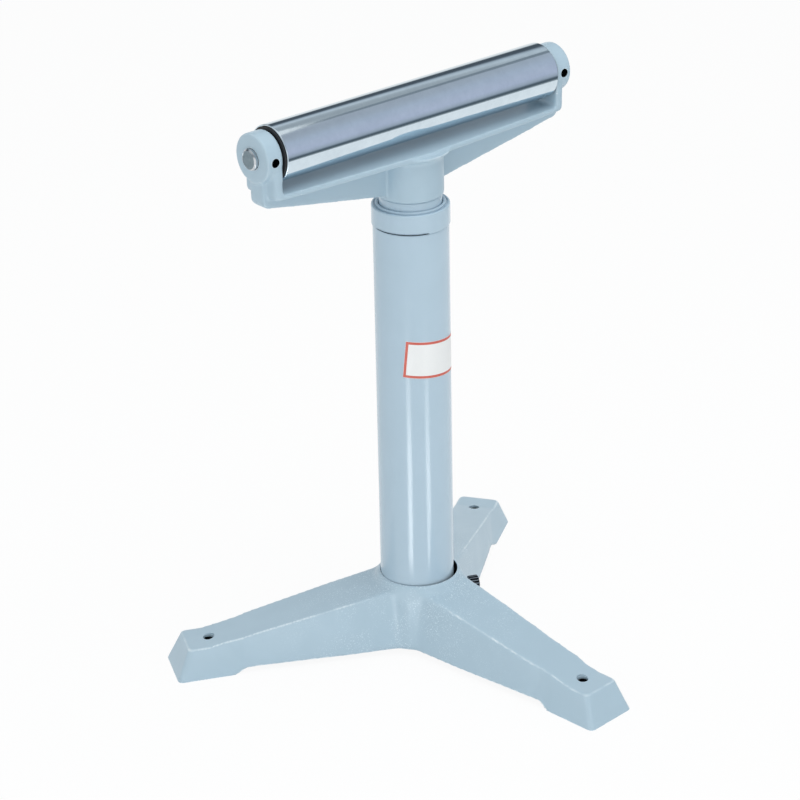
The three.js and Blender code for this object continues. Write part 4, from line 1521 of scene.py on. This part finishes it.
    def build(self) -> bpy.types.Object:
        """Builds the casting.

        Returns:
            The piece, which stands for the CAD yoke.
        """
        parts = [self.neck(), self.flange()]
        for side in Side:
            parts += [self.web(side), self.ear(side), self.boss(side)]
        made = raw_object("yoke_casting", joined(parts))
        melt(made, self.grain)
        points = mesh_points(made)
        soften(made, np.ones(len(points)), self.passes)
        low_ear = (np.abs(points[:, 0]) > self.ear_inner - self.blend) & (points[:, 2] < self.flange_bottom + self.blend)
        soften(made, low_ear.astype(float), self.blend_passes)
        coat_casting(made)
        for hole in self.holes():
            combine(made, hole, Cut.REMOVE, Skin.MACHINED)
        mark_edges(made)
        return finish_piece(made, CAST_ENAMEL, Body.HEAD, "yoke")


@dataclass(frozen=True)
class Post:
    """Sliding tube inside the column, of which a short neck shows under the yoke."""

    radius: float = 30.15
    wall: float = 4.0
    edge: float = 0.9

    def build(self) -> bpy.types.Object:
        """Builds the post: a ring profile carried round the column axis.

        Returns:
            The piece.
        """
        low, high = node_box("inner_post")
        shoulder = node_box("post_guide_ring")[1][2]
        inner = self.radius - self.wall
        neck = self.radius - self.wall / 2
        profile = rounded_path([
            (neck, low[2], 0), (neck, shoulder, 0), (self.radius, shoulder, 0),
            (self.radius, high[2], self.edge), (inner, high[2], 0), (inner, low[2], 0),
        ], closed=True)
        made = raw_object("post_tube", revolve(profile, ring=True))
        return finish_piece(made, TUBE_ENAMEL, Body.HEAD, "inner_post")


@dataclass(frozen=True)
class Roller:
    """Ground steel roller on its axle, with a rubber seal and a set screw at each end."""

    radius: float = 27.0
    wall: float = 7.0
    edge: float = 0.7
    seal_radius: float = 25.5
    seal_recess: float = 1.2
    seal_lip: float = 0.5
    seal_bore: float = 13.05
    axle_radius: float = 10.0
    axle_chamfer: float = 1.5
    axle_dish: float = 0.35
    screw_radius: float = 4.0
    screw_length: float = 6.0

    @property
    def middle(self) -> np.ndarray:
        """Middle of the roller, seen from the foot of the column axis."""
        return node_middle("roller_shell") - COLUMN_AXIS

    def shell(self) -> bpy.types.Object:
        """Builds the shell: a ring profile with eased rims and a seat for each seal, carried round X.

        Returns:
            The piece.
        """
        low, high = node_box("roller_shell")
        end = (high - low)[0] / 2
        inner = self.radius - self.wall
        seat = self.seal_radius + 0.3
        floor = end - self.seal_recess
        profile = rounded_path([
            (self.radius, -end, self.edge), (self.radius, end, self.edge), (seat, end, 0.2), (seat, floor, 0),
            (inner, floor, 0), (inner, -floor, 0), (seat, -floor, 0), (seat, -end, 0.2),
        ], closed=True)
        made = raw_object("roller_tube", revolve(profile, Axis.X, ring=True).moved(self.middle))
        return finish_piece(made, GROUND_STEEL, Body.ROLLER, "roller_shell")

    def seal(self, side: Side) -> bpy.types.Object:
        """Builds one seal: a ring with a raised lip near its rim and another at its bore.

        Args:
            side: Which end it closes.

        Returns:
            The piece.
        """
        node = f"{side.name.lower()}_end_seal"
        low, high = node_box(node)
        near, far = sorted(abs(value - COLUMN_AXIS[0]) for value in (low[0], high[0]))
        face = far - self.seal_lip
        groove = self.seal_radius - 5.5
        profile = rounded_path([
            (self.seal_radius, near, 0), (self.seal_radius, far, 0.4), (self.seal_radius - 3.0, far, 0.4),
            (groove, face, 0.4), (self.seal_bore + 3.0, face, 0.4), (self.seal_bore + 1.5, far, 0.4),
            (self.seal_bore, far, 0.3), (self.seal_bore, near, 0),
        ], closed=True) * (1, side.value)
        surface = revolve(profile, Axis.X, ring=True).moved(self.middle * (0, 0, 1))
        made = raw_object(f"{side.name.lower()}_seal_ring", surface)
        return finish_piece(made, NITRILE, Body.ROLLER, node)

    def axle(self) -> bpy.types.Object:
        """Builds the axle: a bar with chamfered ends and a slightly dished face, carried round X.

        Returns:
            The piece.
        """
        low, high = node_box("axle")
        end = (high - low)[0] / 2
        rim = self.axle_radius - self.axle_chamfer
        face = np.linspace(0, rim - 0.4, 12)
        right = np.concatenate([
            np.c_[face, np.full(len(face), end - self.axle_dish)],
            rounded_path([(rim - 0.2, end - self.axle_dish, 0), (rim, end, 0.15),
                          (self.axle_radius, end - self.axle_chamfer, 0.4), (self.axle_radius, 0, 0)]),
        ])
        profile = np.concatenate([right, right[::-1] * (1, -1)])
        made = raw_object("axle_bar", revolve(profile, Axis.X).moved(self.middle))
        faced = np.abs(face_values(made, "normal")[:, 0]) > math.cos(SMOOTH_ANGLE)
        split_finish(made, BRIGHT_STEEL, TURNED_STEEL, faced)
        return finish_piece(made, BRIGHT_STEEL, Body.HEAD, "axle")

    def set_screw(self, side: Side) -> bpy.types.Object:
        """Builds one headless screw, deep in the front of a boss.

        Args:
            side: Which boss it is in.

        Returns:
            The piece.
        """
        node = f"{side.name.lower()}_axle_set_screw"
        low, high = node_box(node)
        middle = (low + high) / 2 - COLUMN_AXIS
        screw = SocketScrew(length=self.screw_length / 2, radius=self.screw_radius,
                            head_length=self.screw_length / 2, head_radius=self.screw_radius, flutes=1,
                            flute_depth=0.0, socket_flats=4.0, socket_depth=3.0, ease=0.3)
        placed = screw.pointing(-90, -high[1] + COLUMN_AXIS[1], middle[2]).moved((middle[0], 0, 0))
        made = raw_object(f"{side.name.lower()}_set_screw", placed)
        return finish_piece(made, BLACK_OXIDE, Body.HEAD, node)

    def build(self) -> None:
        """Builds the shell, axle, seals and set screws."""
        self.shell()
        self.axle()
        for side in Side:
            self.seal(side)
            self.set_screw(side)


@dataclass(frozen=True)
class InnerPieces:
    """Pieces inside the stand that keep their CAD shape and get a finish of their own."""

    nylon: Tuple[str, ...] = ("post_guide_ring",)
    brass: Tuple[str, ...] = ("lock_pad",)
    bright: Tuple[str, ...] = ("post_end_plug", "yoke_cross_pin", "left_bearing_spacer", "right_bearing_spacer")
    bearing: Tuple[str, ...] = ("left_bearing_outer_race", "right_bearing_outer_race", "left_bearing_inner_race",
                                "right_bearing_inner_race", "left_ball_cage", "right_ball_cage")

    def dress(self) -> None:
        """Gives each CAD node that still shows its finish."""
        finishes = {NYLON: self.nylon, BRASS: self.brass, BRIGHT_STEEL: self.bright, BEARING_STEEL: self.bearing}
        for finish, nodes in finishes.items():
            for node in nodes:
                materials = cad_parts[node].data.materials
                materials.clear()
                materials.append(finish.material())
                LOG.info("%s: CAD shape in %s", node, finish.name)


# Studio


@dataclass(frozen=True)
class Studio:
    """Camera, pale floor, soft lamps, and the cards that the bare steel mirrors."""

    eye: Tuple[float, float, float] = (-1687.03, -1970.65, 1485.93)
    yaw: float = -40.262
    pitch: float = 25.318
    roll: float = -1.176
    lens: float = 132.54
    sensor: float = 36.0
    ambient: float = 0.65
    floor_size: float = 16000.0
    wall_radius: float = 1180.0
    wall_height: float = 2400.0
    streak_azimuths: Tuple[float, float] = (-147.2, -92.2)
    streak_strengths: Tuple[float, float] = (7.5, 5.8)
    streak_spread: float = 12.0
    streak_reach: Tuple[float, float] = (205.0, 820.0)
    card_distance: float = 120.0

    def camera(self) -> None:
        """Sets the camera at the photograph's place, turned by its yaw, pitch and roll."""
        yaw, pitch, roll = (math.radians(value) for value in (self.yaw, self.pitch, self.roll))
        ahead = np.array([-math.sin(yaw) * math.cos(pitch), math.cos(yaw) * math.cos(pitch), -math.sin(pitch)])
        right = np.array([math.cos(yaw), math.sin(yaw), 0])
        up = np.cross(right, ahead)
        level_right = math.cos(roll) * right + math.sin(roll) * up
        level_up = math.cos(roll) * up - math.sin(roll) * right
        place = (np.array(self.eye) + COLUMN_AXIS) * MM
        data = bpy.data.cameras.new("camera")
        data.lens = self.lens
        data.sensor_width = self.sensor
        data.clip_end = 50
        made = bpy.data.objects.new("camera", data)
        turn = np.eye(4)
        turn[:3] = np.stack([level_right, level_up, -ahead, place], axis=1)
        made.matrix_world = Matrix(turn.tolist())
        bpy.context.scene.collection.objects.link(made)
        bpy.context.scene.camera = made

    def seen_directly(self, tree: bpy.types.NodeTree) -> bpy.types.NodeSocket:
        """Adds up the camera, glossy and transmission rays, which see the background itself.

        Args:
            tree: The nodes to add to.

        Returns:
            1 for those rays and 0 for the rest.
        """
        path = add_node(tree, "ShaderNodeLightPath")
        mirrored = add_node(tree, "ShaderNodeMath", {
            0: path.outputs["Is Glossy Ray"], 1: path.outputs["Is Transmission Ray"],
        }, operation="ADD")
        return add_node(tree, "ShaderNodeMath", {
            0: path.outputs["Is Camera Ray"], 1: mirrored.outputs[0],
        }, operation="ADD", use_clamp=True).outputs[0]

    def world(self) -> None:
        """White to look at, and a soft even light on everything else."""
        made = bpy.data.worlds.new("studio")
        made.use_nodes = True
        tree = made.node_tree
        tree.nodes.clear()
        light = add_node(tree, "ShaderNodeBackground", {"Color": linear("#f6fafc"), "Strength": self.ambient})
        white = add_node(tree, "ShaderNodeBackground", {"Color": linear("#ffffff"), "Strength": 1.0})
        mix = add_node(tree, "ShaderNodeMixShader", {
            0: self.seen_directly(tree), 1: light.outputs[0], 2: white.outputs[0],
        })
        add_node(tree, "ShaderNodeOutputWorld", {"Surface": mix.outputs[0]})
        bpy.context.scene.world = made

    def floor(self) -> None:
        """Pale floor: white to look at, less a faint shadow, and matt to every other ray."""
        half = self.floor_size / 2
        corners = np.array([[(-half, -half, 0), (-half, half, 0)], [(half, -half, 0), (half, half, 0)]])
        made = raw_object("floor", grid(corners.astype(float)))
        material = bpy.data.materials.new("pale_floor")
        material.use_nodes = True
        tree = material.node_tree
        tree.nodes.clear()
        matt = add_node(tree, "ShaderNodeBsdfDiffuse", {"Color": linear("#f6f7f7")})
        white = add_node(tree, "ShaderNodeEmission", {"Color": linear("#ffffff"), "Strength": 1.0})
        share = add_node(tree, "ShaderNodeMath", {0: self.seen_directly(tree), 1: 0.92}, operation="MULTIPLY")
        mix = add_node(tree, "ShaderNodeMixShader", {
            0: share.outputs[0], 1: matt.outputs[0], 2: white.outputs[0],
        })
        add_node(tree, "ShaderNodeOutputMaterial", {"Surface": mix.outputs[0]})
        made.data.materials.append(material)

    def lamp(self, name: str, azimuth: float, elevation: float, distance: float, size: float,
             power: float) -> bpy.types.Object:
        """Hangs a square soft lamp that points at the middle of the stand.

        Args:
            name: The lamp's name.
            azimuth: Direction of the lamp from the column in degrees.
            elevation: Its height as an angle in degrees.
            distance: How far away it is.
            size: Length of its side.
            power: Its power in watts.

        Returns:
            The lamp.
        """
        flat, up = math.radians(azimuth), math.radians(elevation)
        way = np.array([math.cos(flat) * math.cos(up), math.sin(flat) * math.cos(up), math.sin(up)])
        target = COLUMN_AXIS + (0, 0, 220)
        data = bpy.data.lights.new(name, "AREA")
        data.size = size * MM
        data.energy = power
        made = bpy.data.objects.new(name, data)
        side = np.cross((0, 0, 1), way)
        side = side / np.linalg.norm(side)
        turn = np.eye(4)
        turn[:3] = np.stack([side, np.cross(way, side), way, (target + way * distance) * MM], axis=1)
        made.matrix_world = Matrix(turn.tolist())
        bpy.context.scene.collection.objects.link(made)
        return made

    def card(self, name: str, points: np.ndarray, stops: Sequence[Tuple[float, str, float]]) -> None:
        """Puts up a card that only mirrors see, with a glow that changes along its second direction.

        What stands right beside the card doesn't mirror it: it is clear to rays shorter than a set distance.

        Args:
            name: The card's name.
            points: Its grid of points.
            stops: Share along the card, colour and strength there.
        """
        made = raw_object(name, grid(points))
        material = bpy.data.materials.new(name)
        material.use_nodes = True
        tree = material.node_tree
        tree.nodes.clear()
        place = add_node(tree, "ShaderNodeTexCoord")
        along = add_node(tree, "ShaderNodeSeparateXYZ", {0: place.outputs["UV"]})
        ramp = add_node(tree, "ShaderNodeValToRGB", {0: along.outputs[1]})
        elements = ramp.color_ramp.elements
        for _ in stops[2:]:
            elements.new(1.0)
        for element, (share, code, strength) in zip(elements, stops):
            element.position = share
            element.color = [channel * strength for channel in linear(code)[:3]] + [1.0]
        glow = add_node(tree, "ShaderNodeEmission", {"Color": ramp.outputs[0], "Strength": 1.0})
        length = add_node(tree, "ShaderNodeLightPath").outputs["Ray Length"]
        away = add_node(tree, "ShaderNodeMath", {0: length, 1: self.card_distance * MM}, operation="GREATER_THAN")
        clear = add_node(tree, "ShaderNodeBsdfTransparent")
        mix = add_node(tree, "ShaderNodeMixShader", {0: away.outputs[0], 1: clear.outputs[0], 2: glow.outputs[0]})
        add_node(tree, "ShaderNodeOutputMaterial", {"Surface": mix.outputs[0]})
        made.data.materials.append(material)
        made.visible_camera = False
        made.visible_diffuse = False
        made.visible_transmission = False
        made.visible_shadow = False

    def wall(self, name: str, start: float, end: float, stops: Sequence[Tuple[float, str]]) -> None:
        """Stands a curved card round part of the stand: its points are at one radius, by azimuth and height.

        Args:
            name: The card's name.
            start: First azimuth in degrees.
            end: Last azimuth in degrees.
            stops: Height in millimetres and colour there.
        """
        turn, height = np.meshgrid(np.radians(np.linspace(start, end, 33)), (0.0, self.wall_height), indexing="ij")
        points = np.stack([self.wall_radius * np.cos(turn), self.wall_radius * np.sin(turn), height], axis=-1)
        self.card(name, points, [(up / self.wall_height, code, 1.0) for up, code in stops])

    def streak(self, name: str, azimuth: float, strength: float) -> None:
        """Lays a bright wedge on the floor, which glossy uprights mirror as a streak.

        Its points are by azimuth and by distance from the column.

        Args:
            name: The card's name.
            azimuth: Direction of its middle in degrees.
            strength: How bright it is by the column, where the floor is 1.
        """
        spread = np.linspace(azimuth - self.streak_spread / 2, azimuth + self.streak_spread / 2, 9)
        turn, reach = np.meshgrid(np.radians(spread), self.streak_reach, indexing="ij")
        points = np.stack([reach * np.cos(turn), reach * np.sin(turn), np.full_like(turn, 2.0)], axis=-1)
        self.card(name, points, [(0.0, "#ffffff", strength), (0.35, "#ffffff", strength), (1.0, "#ffffff", 1.0)])

    def build(self) -> None:
        """Builds the studio."""
        self.camera()
        self.world()
        self.floor()
        bpy.context.scene.view_settings.view_transform = "Standard"
        self.lamp("key", -95, 11, 2600, 1500, 5.8)
        self.lamp("fill", -155, 11, 2600, 1500, 8.7)
        self.lamp("top", -75, 76, 2600, 1600, 25).visible_glossy = False
        self.wall("wall_in_front", -75, -8, [
            (0, "#b4babd"), (60, "#8b9499"), (110, "#58636b"), (200, "#58636b"), (250, "#848e98"), (315, "#a9b0bc"),
            (390, "#b7bdca"), (570, "#c5c9db"), (800, "#c6cadb"), (1300, "#bfc6d5"), (1700, "#b7bdc8"),
            (2050, "#b3b8c2"),
        ])
        self.wall("wall_between", -8, 5, [(0, "#8b949c"), (2400, "#8b949c")])
        self.wall("wall_behind", 5, 130, [
            (0, "#ffffff"), (800, "#f4f4f4"), (960, "#6a727a"), (1000, "#4e575f"), (1330, "#565f68"),
            (1420, "#8c959e"), (1560, "#c4ccd4"), (1720, "#cfd6dc"), (1880, "#b6bcc2"), (2100, "#adb3b8"),
        ])
        self.wall("wall_around", 130, 285, [
            (0, "#ffffff"), (800, "#f8f9f9"), (960, "#a3abb1"), (1000, "#8b949b"), (1330, "#979fa6"),
            (1420, "#b3babf"), (1560, "#d3d8dc"), (2100, "#e3e7e9"),
        ])
        for number, (azimuth, strength) in enumerate(zip(self.streak_azimuths, self.streak_strengths)):
            self.streak(f"bright_floor_{number}", azimuth, strength)


def main() -> None:
    """Builds the stand over its CAD frame, dresses it and sets the studio up."""
    logging.basicConfig(level=logging.INFO, format="%(name)s: %(message)s")
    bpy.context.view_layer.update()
    base = TripodCasting()
    base.build()
    Column().build(base)
    Post().build()
    Yoke().build()
    Roller().build()
    InnerPieces().dress()
    Studio().build()


if __name__ == "__main__":
    main()
